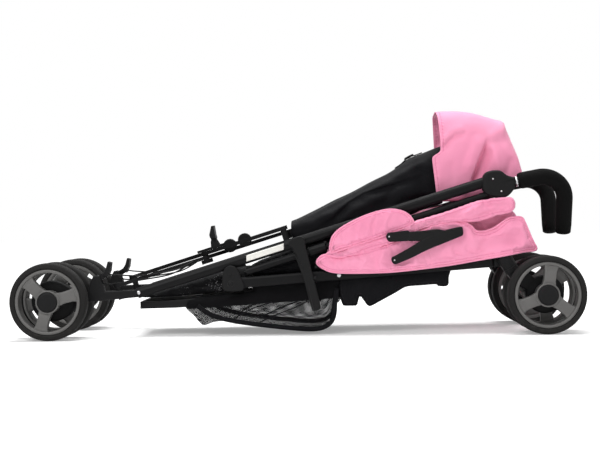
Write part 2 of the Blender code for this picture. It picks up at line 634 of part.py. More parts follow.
def loft(stations, points):
    """Skin cross-sections of soft fabric given as x, half width, low z, high z and crown."""
    rings = []
    for k, (x, half, low, high, sag) in enumerate(stations):
        ring = []
        for j in range(points):
            t = 2 * math.pi * (j + 0.5) / points
            wave = 1 + sag * math.sin(5 * t + 0.9 * k)
            cy, cz = math.cos(t), math.sin(t)
            y = half * math.copysign(abs(cy) ** 0.5, cy)
            square = 0.8 if cz > 0 else 0.4
            z = (high + low) / 2 + (high - low) / 2 * math.copysign(abs(cz) ** square, cz) * min(wave, 1.0)
            ring.append((x, y, z))
        rings.append(ring)
    return chain(rings)


def centre_fabric():
    """Backrest cover, hood, seat pad, the black cover under it, and the mesh basket."""
    shape = [(-10, 80, 219, 0.0), (4, 86, 226, 0.03), (40, 93.4, 246, 0.06), (76, 93.8, 264, 0.07)]
    shape += [(112, 93.8, 282, 0.08), (150, 93.8, 301, 0.08), (190, 93.8, 322, 0.07)]
    shape += [(228, 88, 342, 0.06), (250, 71, 353, 0.05), (292, 66, 362, 0.0)]
    stations = []
    for x, half, high, sag in shape:
        low = max(tube_z(x) - 13.0, 198.0 - 0.7 * (x + 10))
        stations.append((x, half, low, high, sag))
    add("backrest_cover", loft(stations, 24), BLACK, 0.95, 0.0)

    hinge = along_tube(TUBE_LENGTH - HOOD_BACK, 0)
    crown = [(-60, -5), (-64, 49), (-58, 99), (-47, 162), (20, 160), (70, 151), (94, 141)]
    crown += [(114, 99), (128, 54), (130, 31), (15, -11)]
    w = HOOD_CLOTH
    hollow = [(-90, -31), (-90, 162 - w), (-47, 162 - w), (20, 160 - w), (68, 151 - w), (91, 139 - w)]
    hollow += [(110, 98), (124, 54), (126, 19), (126, -31)]
    crown, hollow = ([(hinge[0] + x, hinge[1] + z) for x, z in line] for line in (crown, hollow))
    shell = slab(crown, -HOOD_HALF, HOOD_HALF, 16.0, (), 3)
    void = slab(hollow, w - HOOD_HALF, HOOD_HALF - w, 13.0, (), 3)
    hood = combined(shell, [], [void])
    reach = TUBE_Y - TUBE_WIDTH / 2 - GAP
    clips = [cross_rod(hinge, side, HOOD_HALF - 2, reach, HOOD_CLIP_R) for side in SIDES.values()]
    add("hood", combined(hood, clips), PINK, 0.9, 0.0, (hinge[0], 0, hinge[1]))

    pad = [(58, 150), (64, 132), (120, 128), (200, 132), (300, 141), (350, 148), (410, 163), (458, 172)]
    pad += [(462, 182), (450, 212), (436, 240), (424, 250), (366, 250)]
    pad += [(x, tube_z(x) - SEAT_TUBE_DROP + 4) for x in (330, 250, 160, 90)]
    add("seat_pad", soft_panel(pad, -PAD_HALF, PAD_HALF, 8.0), PINK, 0.9, 0.0)

    skirt = [(88, 98), (90, 62), (106, 58), (120, 60), (127, 80), (145, 58), (182, 76), (218, 98)]
    skirt += [(297, 97), (300, 130), (200, 128.5), (120, 124.5), (90, 122)]
    add("under_cover", slab(skirt, -CLOTH_HALF, CLOTH_HALF, 5.0), BLACK, 0.95, 0.0)

    bag = [(-200, 56), (-194, 36), (-182, 23), (-160, 26), (-112, 24), (-40, 16), (33, 10), (58, 14), (72, 34)]
    bag += [(76, 60), (87, 64), (87, 120), (0, 118), (-84, 112), (-89, 85), (-150, 82), (-200, 78)]
    add("basket", slab(bag, -CLOTH_HALF, CLOTH_HALF, 7.0), MESH_BLACK, 0.9, 0.0)

    board = [(-310, 55), (-240, 56), (-200.4, 58), (-200.4, 74), (-240, 71), (-310, 69)]
    add("basket_board", slab(board, -BOARD_HALF, BOARD_HALF, 1.5), BLACK, 0.6, 0.0)


for side_word, side_sign in SIDES.items():
    rear_end(side_word, side_sign)
    long_tubes(side_word, side_sign)
    front_end(side_word, side_sign)
    latch(side_word, side_sign)
    handle(side_word, side_sign)
    side_fabric(side_word, side_sign)
brace()
centre_fabric()
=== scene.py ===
"""Looks of a folding stroller that is folded and lies on its wheels.

Everything is in metres in the row frame: X along the bundle towards the handles, Y away from the camera,
Z up. Outlines, profiles and routes are listed in millimetres. What both sides have is made once for the
near side, where side is -1, and once for the far side, where it is 1.
"""

import math

import bmesh
import bpy
import numpy as np
from mathutils import Matrix, Vector
from mathutils.geometry import delaunay_2d_cdt


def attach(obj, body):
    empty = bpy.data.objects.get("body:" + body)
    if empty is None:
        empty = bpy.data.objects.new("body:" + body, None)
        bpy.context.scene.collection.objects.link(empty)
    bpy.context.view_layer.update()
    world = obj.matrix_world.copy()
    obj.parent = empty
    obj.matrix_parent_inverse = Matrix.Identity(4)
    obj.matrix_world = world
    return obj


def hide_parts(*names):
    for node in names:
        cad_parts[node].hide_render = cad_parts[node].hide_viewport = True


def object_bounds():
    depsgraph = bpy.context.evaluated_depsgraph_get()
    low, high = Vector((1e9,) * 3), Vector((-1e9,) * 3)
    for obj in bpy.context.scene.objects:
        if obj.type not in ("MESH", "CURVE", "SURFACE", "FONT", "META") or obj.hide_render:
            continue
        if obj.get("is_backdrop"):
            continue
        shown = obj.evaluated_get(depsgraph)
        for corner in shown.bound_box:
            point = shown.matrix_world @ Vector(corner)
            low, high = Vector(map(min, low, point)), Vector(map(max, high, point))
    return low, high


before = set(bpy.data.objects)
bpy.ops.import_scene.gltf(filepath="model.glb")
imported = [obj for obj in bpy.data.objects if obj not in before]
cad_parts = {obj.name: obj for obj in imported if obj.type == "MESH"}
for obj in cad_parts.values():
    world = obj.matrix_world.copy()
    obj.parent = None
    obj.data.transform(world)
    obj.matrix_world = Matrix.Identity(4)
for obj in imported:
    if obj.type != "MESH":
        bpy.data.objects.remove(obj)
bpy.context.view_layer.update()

# Camera. It stands 2.36 m in front of the near side at wheel height, turned a little to the left, and its
# place was solved from the wheels, the handles and the vanishing point of the width.
camera_place = (0.075, -2.355, 0.224)
lens = bpy.data.cameras.new("camera")
lens.lens = 69.48
lens.sensor_width = 36.0
camera = bpy.data.objects.new("camera", lens)
bpy.context.scene.collection.objects.link(camera)
turn, tip, roll = math.radians(1.7), math.radians(0.25), math.radians(0.95)
forward = Vector((-math.sin(turn), math.cos(turn), -math.sin(tip))).normalized()
level = Vector((math.cos(turn), math.sin(turn), 0.0))
over = level.cross(forward).normalized()
right = level * math.cos(roll) - over * math.sin(roll)
top = over * math.cos(roll) + level * math.sin(roll)
columns = Matrix((right, top, -forward)).transposed().to_4x4()
camera.matrix_world = Matrix.Translation(camera_place) @ columns
bpy.context.scene.camera = camera
bpy.context.scene.view_settings.view_transform = "Standard"

# Studio. A white sheet for a floor and a white surround, lit by three large soft lamps. Only the camera and
# mirror rays see the surround at full white, and the sheet glows a little for the camera, so the lamps decide
# the light.
def feed(socket, value):
    """Give an input socket a plain value, or join it to another node's output."""
    if isinstance(value, bpy.types.NodeSocket):
        socket.id_data.links.new(value, socket)
    else:
        socket.default_value = value


def new_node(tree, kind, inputs, **settings):
    """A node with its settings, and its inputs by name or number. Returns its outputs."""
    node = tree.nodes.new("ShaderNode" + kind)
    for label, value in settings.items():
        setattr(node, label, value)
    for label, value in inputs.items():
        feed(node.inputs[label], value)
    return node.outputs


def worked(operation, a, b=0.0, clamp=False):
    """The Math node's operation on a socket and a number or second socket."""
    return new_node(a.id_data, "Math", {0: a, 1: b}, operation=operation, use_clamp=clamp)[0]


def ranged(value, low, high, new_low, new_high):
    """A clamped Map Range from low..high to new_low..new_high."""
    inputs = {"Value": value, "From Min": low, "From Max": high, "To Min": new_low, "To Max": new_high}
    return new_node(value.id_data, "MapRange", inputs)[0]


def lamp(name, place, target, size, power):
    """A square soft lamp at place, facing target."""
    data = bpy.data.lights.new(name, "AREA")
    data.size = size
    data.energy = power
    item = bpy.data.objects.new(name, data)
    bpy.context.scene.collection.objects.link(item)
    item.location = place
    item.rotation_euler = (Vector(target) - Vector(place)).to_track_quat("-Z", "Y").to_euler()


half = 12
ground = bpy.data.meshes.new("floor")
corners = [(-half, -half, 0), (half, -half, 0), (half, half, 0), (-half, half, 0)]
ground.from_pydata(corners, [], [(0, 1, 2, 3)])
floor = bpy.data.objects.new("floor", ground)
bpy.context.scene.collection.objects.link(floor)
floor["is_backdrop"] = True
paper = bpy.data.materials.new("paper")
paper.use_nodes = True
tree = paper.node_tree
tree.nodes.clear()
diffuse = new_node(tree, "BsdfDiffuse", {"Color": (0.90, 0.90, 0.90, 1)})[0]
spot = new_node(tree, "TexCoord", {})["Object"]
away = new_node(tree, "VectorMath", {0: spot}, operation="LENGTH")["Value"]
seen = new_node(tree, "LightPath", {})["Is Camera Ray"]
lift = worked("MULTIPLY", seen, ranged(away, 0.7, 3.0, 0.26, 0.80))
glow = new_node(tree, "Emission", {"Strength": lift})[0]
new_node(tree, "OutputMaterial", {"Surface": new_node(tree, "AddShader", {0: diffuse, 1: glow})[0]})
ground.materials.append(paper)

surround = bpy.data.worlds.new("surround")
bpy.context.scene.world = surround
surround.use_nodes = True
tree = surround.node_tree
tree.nodes.clear()
rays = new_node(tree, "LightPath", {})
seen = worked("ADD", rays["Is Camera Ray"], rays["Is Glossy Ray"], True)
seen = worked("ADD", seen, rays["Is Transmission Ray"], True)
sky = new_node(tree, "Background", {"Color": (1, 1, 1, 1), "Strength": ranged(seen, 0.0, 1.0, 0.30, 1.0)})[0]
new_node(tree, "OutputWorld", {"Surface": sky})

lamp("lamp_key", (-1.3, -2.4, 2.2), (0.1, 0.0, 0.2), 1.4, 46.0)
lamp("lamp_fill", (2.2, -2.4, 1.2), (0.1, 0.0, 0.2), 1.6, 11.0)
lamp("lamp_top", (0.1, 0.15, 2.5), (0.1, 0.0, 0.1), 1.5, 72.0)

# Moulded and painted black parts: forks, brackets, housings, pedals, latches, tubes and axles. Glass-filled
# nylon has a fine spark-eroded grain, and the tubes and legs are steel under a satin powder coat. Corners are
# painted a little paler, partly as rubbed wear and partly as a painted highlight on the edges. These CAD
# nodes keep their shape and get these two finishes.
def node_group(name, outputs, **numbers):
    """A new shader node group on a vector, with numbers of given defaults, and outputs of these names.
    Returns it, the sockets inside it that bring its inputs, and those that take its outputs."""
    group = bpy.data.node_groups.new(name, "ShaderNodeTree")
    group.interface.new_socket("Vector", in_out="INPUT", socket_type="NodeSocketVector")
    for label, default in numbers.items():
        socket = group.interface.new_socket(label, in_out="INPUT", socket_type="NodeSocketFloat")
        socket.default_value = default
    for label in outputs:
        group.interface.new_socket(label, in_out="OUTPUT", socket_type="NodeSocketFloat")
    return group, group.nodes.new("NodeGroupInput").outputs, group.nodes.new("NodeGroupOutput").inputs


def use_group(group, vector, **values):
    """Put a group into a material on a vector socket. Returns its outputs."""
    return new_node(vector.id_data, "Group", {"Vector": vector, **values}, node_tree=group)


def noise(vector, scale, detail=4.0, rough=0.55):
    """Noise over a vector socket. Scale is a number or a socket."""
    inputs = {"Vector": vector, "Scale": scale, "Detail": detail, "Roughness": rough}
    return new_node(vector.id_data, "TexNoise", inputs)[0]


def mixed(share, first, second):
    """A colour mix, each side a colour or a socket."""
    first, second = ((*side, 1.0) if isinstance(side, tuple) else side for side in (first, second))
    return new_node(share.id_data, "Mix", {"Factor": share, 6: first, 7: second}, data_type="RGBA")[2]


# Grain: fine noise for the moulded skin, with a slow drift of tone over a hand's width.
grain, given, made = node_group("grain", ("Height", "Tone"), Scale=900.0)
fine = noise(given["Vector"], given["Scale"], 2.0)
slow = noise(given["Vector"], 14.0, 3.0)
feed(made["Height"], fine)
feed(made["Tone"], worked("ADD", worked("MULTIPLY", fine, 0.35), worked("MULTIPLY", slow, 0.65)))

# Wear and painted highlight: a mask that is high on outer corners, broken up by noise, from how far a
# rounded normal leans. The corners it marks are painted paler, as wear and as a painted edge highlight.
wear, given, made = node_group("wear", ("Mask",), Reach=0.0012)
soft_normal = new_node(wear, "Bevel", {"Radius": given["Reach"]}, samples=4)[0]
normal = new_node(wear, "NewGeometry", {})["Normal"]
lean = new_node(wear, "VectorMath", {0: soft_normal, 1: normal}, operation="DOT_PRODUCT")["Value"]
patches = ranged(noise(given["Vector"], 55.0, 5.0), 0.42, 0.62, 0.0, 1.0)
feed(made["Mask"], worked("MULTIPLY", ranged(lean, 0.995, 0.86, 0.0, 1.0), patches))


def new_material(name, **sockets):
    """A Principled material. Returns it, its shader's inputs and the Object coordinates."""
    look = bpy.data.materials.new(name)
    look.use_nodes = True
    shader = look.node_tree.nodes["Principled BSDF"].inputs
    for label, value in sockets.items():
        shader[label.replace("_", " ")].default_value = value
    return look, shader, new_node(look.node_tree, "TexCoord", {})["Object"]


def bumped(shader, height, strength, distance):
    """Tilt the shader's normal by a height from 0 to 1, distance metres deep, on top of what tilts it
    already."""
    inputs = {"Strength": strength, "Distance": distance, "Height": height}
    if shader["Normal"].links:
        inputs["Normal"] = shader["Normal"].links[0].from_socket
    feed(shader["Normal"], new_node(height.id_data, "Bump", inputs)[0])


def worn_and_highlit_corners(place):
    """Mask of the corners painted paler, as rubbed wear and as a painted edge highlight."""
    return use_group(wear, place)["Mask"]


def hard_finish(name, scale, dark, pale, rough, bump=None, second=None, where=worn_and_highlit_corners, by="Tone",
                **sockets):
    """Grained hard surface between two tones and two roughnesses, with a second colour where a mask of the
    coordinates is high. bump is its strength and depth, and by the grain's output that drives the
    roughness."""
    look, shader, place = new_material(name, **sockets)
    grains = use_group(grain, place, Scale=scale)
    base = mixed(grains["Tone"], dark, pale)
    # By default the second colour paints the corners paler: partly wear, partly a painted highlight.
    feed(shader["Base Color"], mixed(where(place), base, second) if second else base)
    feed(shader["Roughness"], ranged(grains[by], 0.3, 0.7, *rough))
    if bump:
        bumped(shader, grains["Height"], *bump)
    return look


nylon = hard_finish("moulded_nylon", 1100.0, (0.0034, 0.0034, 0.0036), (0.0075, 0.0075, 0.0079), (0.50, 0.64),
                    (0.5, 0.00012), (0.026, 0.026, 0.027), Specular_IOR_Level=0.15)
powder = hard_finish("powder_coat", 1800.0, (0.0020, 0.0020, 0.0023), (0.0042, 0.0042, 0.0047), (0.36, 0.48),
                     (0.5, 0.00005), (0.034, 0.034, 0.036), Specular_IOR_Level=0.13)
painted = ("main_tube", "seat_tube", "front_leg", "brace_bar", "handle_tube")
for node_name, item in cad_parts.items():
    item.data.materials.clear()
    item.data.materials.append(powder if node_name.startswith(painted) else nylon)

# Tyres. Solid foam-rubber tyres pressed on the rims, one piece each, with a raised bead beside the rim and
# three thin grooves round the tread. The rubber is matt, a little dusty where it meets the floor.
def quads_of(index):
    """The four corners of each face of a grid, from the grid's point numbers."""
    return np.stack([index[:-1, :-1], index[:-1, 1:], index[1:, 1:], index[1:, :-1]], -1).reshape(-1, 4)


def new_item(name, points, faces):
    """A smooth object from arrays of points and lists of faces."""
    shape = bpy.data.meshes.new(name)
    shape.from_pydata(points.tolist(), [], faces)
    shape.shade_smooth()
    item = bpy.data.objects.new(name, shape)
    bpy.context.scene.collection.objects.link(item)
    return item


def outwards(item):
    """Turn every face outwards."""
    work = bmesh.new()
    work.from_mesh(item.data)
    bmesh.ops.recalc_face_normals(work, faces=work.faces)
    work.to_mesh(item.data)
    work.free()
    return item


def skin(name, grid, around=True, loop=False, ends=True):
    """A smooth mesh over a grid of points [row, column, xyz], whose faces point outwards if it is closed.

    around joins the last column to the first, loop the last row to the first row, and ends closes the first
    and last row onto their middles.
    """
    rows, cols = grid.shape[:2]
    index = np.arange(rows * cols).reshape(rows, cols)
    if around:
        index = np.hstack([index, index[:, :1]])
    if loop:
        index = np.vstack([index, index[:1]])
    points = grid.reshape(-1, 3)
    faces = quads_of(index).tolist()
    if ends:
        first = np.stack([index[0, 1:], index[0, :-1], np.full(index.shape[1] - 1, len(points))], -1)
        last = np.stack([index[-1, :-1], index[-1, 1:], np.full(index.shape[1] - 1, len(points) + 1)], -1)
        points = np.vstack([points, grid[[0, -1]].mean(1)])
        faces += np.vstack([first, last]).tolist()
    item = new_item(name, points, faces)
    return outwards(item) if around else item


def joined_grids(name, grids, rings=0):
    """One mesh from several separate grids: the first few looped into rings, the others closed at their
    ends."""
    parts = [skin(name, grid, True, number < rings, number >= rings) for number, grid in enumerate(grids)]
    bpy.context.view_layer.objects.active = parts[0]
    if len(parts) > 1:
        with bpy.context.temp_override(active_object=parts[0], selected_editable_objects=parts):
            bpy.ops.object.join()
    return parts[0]


def settle(item, body, look, slot, *nodes, fill=None):
    """Give a finished piece its material and its body, and hide the CAD nodes that it stands for. slot is not
    used, and fill, the solid share of a soft piece, is not used."""
    item.data.materials.clear()
    item.data.materials.append(look)
    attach(item, body)
    if nodes:
        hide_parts(*nodes)


def revolved(profile, centre, steps, side=1):
    """A (radius, distance) profile turned about the Y direction through centre, rows along the profile."""
    radius, run = np.array(profile, float).T * 0.001
    angle = np.linspace(0, 2 * math.pi, steps, endpoint=False)
    x = centre[0] + np.outer(radius, np.cos(angle))
    z = centre[2] + np.outer(radius, np.sin(angle))
    y = np.repeat((centre[1] + side * run)[:, None], steps, 1)
    return np.stack([x, y, z], -1)


def floor_dust(place):
    """Mask of dust that fades out 45 mm above the floor, in patches."""
    low = ranged(new_node(place.id_data, "SeparateXYZ", {0: place})["Z"], 0.0, 0.045, 1.0, 0.0)
    return worked("MULTIPLY", low, ranged(noise(place, 60.0), 0.4, 0.7, 0.1, 0.8))


rubber = hard_finish("tyre_rubber", 700.0, (0.0065, 0.0062, 0.0060), (0.0125, 0.0120, 0.0115), (0.66, 0.82),
                     (0.5, 0.00025), (0.036, 0.034, 0.032), floor_dust, Specular_IOR_Level=0.18)
half_tyre = [
    (62.7, 12.4), (64.0, 13.6), (65.4, 14.9), (67.2, 15.0), (68.2, 14.3), (70.6, 14.0), (72.8, 12.8),
    (74.2, 10.6), (74.8, 8.2), (73.6, 7.7), (73.6, 6.7), (74.9, 6.2), (75.0, 1.0), (73.8, 0.5)]
tyre_line = half_tyre + [(r, -y) for r, y in reversed(half_tyre)]
sides = (("near", -1), ("far", 1))
axles = (("rear", (-0.477, 0.0, 0.075), "frame"), ("front", (0.477, 0.0, 0.075), "caster"))
wheels = []
for end, (axle_x, _, axle_z), carrier in axles:
    for word, side in sides:
        for place_word, y, spoke in (("outer", 0.140, (15, 82)), ("inner", 0.080, (70, 40))):
            name = f"{end}_{word}_{place_word}"
            wheels.append((name, (axle_x, side * y, axle_z), side, math.radians(spoke[end == "front"])))
for name, centre, side, spoke in wheels:
    tyre = skin("tread_" + name, revolved(tyre_line, centre, 112), loop=True, ends=False)
    settle(tyre, name + "_wheel", rubber, "tyre", "tyre_" + name)

# Rims. Injection-moulded grey plastic, one piece each: a deep barrel with a rolled lip, a hub with a thin
# raised ring, and three broad spokes whose middle panel stands a little proud. Slightly metallic grey.
# Its paler corners are partly wear and partly a painted edge highlight.
rim_look = hard_finish("rim_plastic", 1500.0, (0.090, 0.088, 0.085), (0.127, 0.124, 0.120), (0.40, 0.56),
                       (0.4, 0.00008), (0.27, 0.265, 0.26), Metallic=0.25, Specular_IOR_Level=0.4)
barrel = [
    (63.0, -13.0), (63.0, 12.6), (62.4, 14.2), (60.8, 14.9), (58.2, 14.8), (56.9, 14.0), (56.4, 12.0),
    (55.8, 0.0), (56.6, -12.2), (57.6, -13.4), (62.0, -13.6)]
hub = [
    (0.01, -14.6), (20.6, -14.6), (21.4, -13.8), (21.8, 0.0), (22.6, 11.0), (22.8, 14.6), (22.3, 15.4),
    (20.4, 15.5), (19.7, 15.0), (19.5, 13.6), (0.01, 13.6)]
reach = np.array([18.0, 21.0, 24.0, 25.6, 27.0, 34.0, 41.0, 47.5, 49.0, 50.6, 54.0, 58.0])
proud = np.array([0.0, 0.0, 0.0, 0.2, 0.9, 0.9, 0.9, 0.9, 0.2, 0.0, 0.0, 0.0])
broad = np.array([13.6, 12.8, 12.3, 12.1, 11.6, 11.5, 11.7, 12.0, 12.6, 13.0, 14.2, 16.4])
spoke_middle, spoke_half, boxy = 5.4, 7.4, 0.3
angle = (np.arange(24) + 0.5) / 24 * 2 * math.pi
square_x, square_y = (np.sign(swing) * np.abs(swing) ** boxy for swing in (np.cos(angle), np.sin(angle)))
for name, centre, side, spoke in wheels:
    grids = [revolved(barrel, centre, 96, side), revolved(hub, centre, 64, side)]
    for third in range(3):
        turned_by = spoke + third * 2 * math.pi / 3
        out = np.repeat(reach[:, None], 24, 1)
        across = broad[:, None] * square_x
        depth = spoke_middle + spoke_half * square_y + np.where(square_y > 0, proud[:, None], 0.0)
        x = out * math.cos(turned_by) - across * math.sin(turned_by)
        z = out * math.sin(turned_by) + across * math.cos(turned_by)
        grids.append(np.stack([x, side * depth, z], -1) * 0.001 + np.array(centre))
    settle(joined_grids("spokes_" + name, grids, 1), name + "_wheel", rim_look, "rim", "rim_" + name)

# Axles. A steel rod through each pair of wheels, hidden but for its ends: a wide domed black plastic cap
# pushed into the outer hub, and a small pressed head on the inner side.
cap_line = [
    (0.01, 61.9), (3.0, 62.0), (7.6, 62.8), (8.5, 63.6), (8.5, 65.0), (5.2, 65.1), (5.2, 155.0),
    (18.6, 155.0), (19.0, 155.6), (19.0, 156.4), (18.2, 157.2), (14.0, 157.7), (7.0, 157.95), (0.01, 158.0)]
for end, centre, carrier in axles:
    for word, side in sides:
        cap = skin(f"cap_{end}_{word}", revolved(cap_line, centre, 64, side))
        settle(cap, f"{word}_{carrier}", nylon, "axle", f"{end}_axle_{word}")

# Painted shade between the wheels. A black moulded drum round each axle between its two wheels: a dark
# piece that stands in for the shade there, and hides the hub's inner side and the brake's pins. It is
# clipped on the fork, and at the front it turns with the caster.
def shade_drum(centre, side, radius, squeeze):
    """A flat drum round an axle: rings of a circle that is drawn out by squeeze towards the bundle's
    middle."""
    y_inner, y_outer = 0.0985, 0.1215
    around = np.linspace(0, 2 * math.pi, 72, endpoint=False)
    long = radius * (1 + squeeze * 0.5 * (1 - np.sign(centre[0]) * np.cos(around)) ** 2)
    share = np.array([0.55, 0.93, 0.98, 1.0, 1.0, 0.98, 0.93, 0.55])[:, None]
    y = np.array([0, 0, 0.06, 0.2, 0.8, 0.94, 1, 1])[:, None] * (y_outer - y_inner) + y_inner
    x = centre[0] + share * long * np.cos(around)
    z = centre[2] + share * radius * np.sin(around)
    return np.stack([x, side * y * np.ones_like(x), z], -1)


for (end, centre, carrier), (radius, squeeze) in zip(axles, ((0.040, 0.11), (0.037, 0.0))):
    for word, side in sides:
        drum = skin(f"shroud_{end}_{word}", shade_drum(centre, side, radius, squeeze))
        settle(drum, f"{word}_{carrier}", nylon, "plastic")

# Foam grips. A closed-cell foam sleeve on each hooked handle tube, matt black with a fine pitted skin, cut
# square at the neck and rounded over the tube's tip.
foam = hard_finish("grip_foam", 1300.0, (0.0016, 0.0016, 0.0016), (0.0046, 0.0046, 0.0046), (0.80, 0.95),
                   (0.9, 0.0005), by="Height", Specular_IOR_Level=0.10)


def tube_round(path, radius, steps, tall=None, closed=False, across=(0, 1, 0)):
    """Rings about a path: at each point, across times the cosine plus the up direction times the sine."""
    path = np.array(path, float)
    run = np.roll(path, -1, 0) - np.roll(path, 1, 0) if closed else np.gradient(path, axis=0)
    run /= np.linalg.norm(run, axis=1, keepdims=True)
    across = np.array(across, float) * np.ones_like(path)
    across -= (across * run).sum(1, keepdims=True) * run
    across /= np.linalg.norm(across, axis=1, keepdims=True)
    up = np.cross(across, run)
    angle = np.linspace(0, 2 * math.pi, steps, endpoint=False)
    wide = np.broadcast_to(radius, len(path))[:, None, None]
    high = wide if tall is None else np.broadcast_to(tall, len(path))[:, None, None]
    return (path[:, None] + across[:, None] * wide * np.cos(angle)[None, :, None]
            + up[:, None] * high * np.sin(angle)[None, :, None])


neck_place, tube_y, grip_radius = (0.4256, 0.0, 0.292), 0.1, 0.0160
neck_slope, hook_lean, neck_length, hook_radius = math.radians(10.2), math.radians(16.0), 0.046, 0.045
run = np.array([math.cos(neck_slope), 0.0, math.sin(neck_slope)])
down = np.array([run[2], 0.0, -run[0]])
bend = np.linspace(0, math.pi / 2 + neck_slope, 28)[1:]
straight = np.linspace(0.0074, neck_length, 8)[:, None] * run
middle = run * neck_length + down * hook_radius
arc = middle - down * (hook_radius * np.cos(bend))[:, None] + run * (hook_radius * np.sin(bend))[:, None]
tail = arc[-1] + np.linspace(0.006, 0.0705, 12)[:, None] * np.array([0.0, 0.0, -1.0])
line = np.vstack([straight, arc, tail])
thick = np.full(len(line), grip_radius)
thick[[0, 1, -3, -2, -1]] = (0.0142, 0.0159, 0.0150, 0.0125, 0.0078)
line[-3:, 2] = arc[-1, 2] - np.array([0.0672, 0.0692, 0.0704])
for word, side in sides:
    tilt = np.array(Matrix.Rotation(-side * hook_lean, 3, Vector(run)))
    path = line @ tilt.T + np.array(neck_place) + (0, side * tube_y, 0)
    grip = skin("foam_" + word, tube_round(path, thick, 40, across=tilt @ np.array([0, 1.0, 0])))
    settle(grip, word + "_handle", foam, "foam", "handle_grip_" + word)

# Pink side pieces of the seat, on each side: a quilted wing, a rolled edge under the thin tube and a long
# padded lobe. Woven polyester canvas over foam, sewn with a piped edge and clamped by the Y-shaped bracket.
# Weave: two crossed sine waves over X and over Y plus Z, fibre noise, a slow fade and a soft crumple.
def wave(value, pace):
    """The sine of a value times a pace."""
    return worked("SINE", worked("MULTIPLY", value, pace))


weave, given, made = node_group("weave", ("Height", "Fade", "Crumple"), Threads=1500.0)
axes = new_node(weave, "SeparateXYZ", {0: given["Vector"]})
pace = worked("MULTIPLY", given["Threads"], 2 * math.pi)
weft = wave(worked("ADD", axes["Y"], axes["Z"]), pace)
checks = worked("MULTIPLY", worked("MULTIPLY", wave(axes["X"], pace), weft), 0.32)
fibre = worked("MULTIPLY", noise(given["Vector"], 2400.0, 2.0), 0.36)
feed(made["Height"], worked("ADD", worked("ADD", checks, fibre), 0.32))
feed(made["Fade"], noise(given["Vector"], 7.0, 3.0))
feed(made["Crumple"], noise(given["Vector"], 34.0, 4.0, 0.6))

# Stitches: a dashed row of thread at one distance from the cut edge, read from the UV map in metres, with the
# cloth drawn in beside it and puckered across the row by a sine wave.
stitch_length, pucker_pace = 0.0036, 900.0
stitches, given, made = node_group("stitches", ("Thread", "Draw"), Row=0.006)
axes = new_node(stitches, "SeparateXYZ", {0: given["Vector"]})
off = worked("ABSOLUTE", worked("SUBTRACT", axes["Y"], given["Row"]))
beat = worked("SUBTRACT", worked("FRACT", worked("DIVIDE", axes["X"], stitch_length)), 0.5)
dash = ranged(worked("ABSOLUTE", beat), 0.30, 0.38, 1.0, 0.0)
feed(made["Thread"], worked("MULTIPLY", ranged(off, 0.0004, 0.0007, 1.0, 0.0), dash))
pull = worked("MULTIPLY", wave(axes["X"], pucker_pace), ranged(off, 0.0008, 0.0050, 1.0, 0.0))
feed(made["Draw"], worked("ADD", ranged(off, 0.0, 0.0022, 0.25, 0.7), worked("MULTIPLY", pull, 0.22)))


def cloth_finish(name, deep, light, threads, rough, crumple, sewn, **sockets):
    """Woven cloth between two tones by fade and thread, with a weave bump over a crumple bump and a sewn
    row."""
    look, shader, place = new_material(name, **sockets)
    row = use_group(stitches, new_node(look.node_tree, "UVMap", {}, uv_map="cloth")[0])
    cloth = use_group(weave, place, Threads=threads)
    tone = worked("ADD", worked("MULTIPLY", cloth["Fade"], 0.6), worked("MULTIPLY", cloth["Height"], 0.5))
    base = mixed(ranged(tone, 0.30, 0.80, 0.0, 1.0), deep, light)
    feed(shader["Base Color"], mixed(row["Thread"], base, sewn))
    feed(shader["Roughness"], ranged(cloth["Height"], 0.2, 0.8, rough[1], rough[0]))
    bumped(shader, cloth["Crumple"], 0.55, crumple)
    bumped(shader, row["Draw"], 0.8, 0.0012)
    bumped(shader, cloth["Height"], 0.6, 0.00018)
    return look


pink = cloth_finish("pink_canvas", (0.81, 0.250, 0.410), (0.94, 0.385, 0.550), 1500.0, (0.74, 0.92), 0.0016,
                    (0.70, 0.16, 0.30), Sheen_Weight=0.30, Sheen_Roughness=0.40, Specular_IOR_Level=0.2)


def evenly(line, step=None, count=None):
    """Points spread evenly by length along a line: a step apart, or so many."""
    along = np.r_[0, np.cumsum(np.linalg.norm(np.diff(line, axis=0), axis=1))]
    marks = np.linspace(0, along[-1], count or max(int(along[-1] / step) + 1, 3))
    return np.stack([np.interp(marks, along, column) for column in line.T], -1)


def curve(points, step=None, closed=False, count=None):
    """Catmull-Rom curve through points given in millimetres, spread evenly. A closed one repeats no point."""
    p = np.array(points, float) * 0.001
    if closed:
        a, b, c, d = np.roll(p, 1, 0), p, np.roll(p, -1, 0), np.roll(p, -2, 0)
    else:
        a, b, c, d = np.vstack([p[:1], p[:-2]]), p[:-1], p[1:], np.vstack([p[2:], p[-1:]])
    t = np.linspace(0, 1, 24, endpoint=False)[None, :, None]
    a, b, c, d = (v[:, None] for v in (a, b, c, d))
    square, cube = 2 * a - 5 * b + 4 * c - d, 3 * b - a - 3 * c + d
    line = (0.5 * (2 * b + (c - a) * t + square * t ** 2 + cube * t ** 3)).reshape(-1, p.shape[1])
    line = evenly(np.vstack([line, line[:1] if closed else p[-1:]]), step, count)
    return line[:-1] if closed else line


def off_line(points, line):
    """Distance of 2-D points from a row of segments, the share of the whole line where it is met, and the
    side."""
    a, b = line[:-1], line[1:]
    along = b - a
    rel = points[:, None] - a[None]
    share = np.clip((rel * along).sum(-1) / np.maximum((along ** 2).sum(-1), 1e-12), 0, 1)
    gap = np.linalg.norm(rel - share[..., None] * along, axis=-1)
    near = gap.argmin(1)
    rows = np.arange(len(points))
    turn = along[near, 0] * rel[rows, near, 1] - along[near, 1] * rel[rows, near, 0]
    return gap[rows, near], (near + share[rows, near]) / len(a), np.sign(turn)


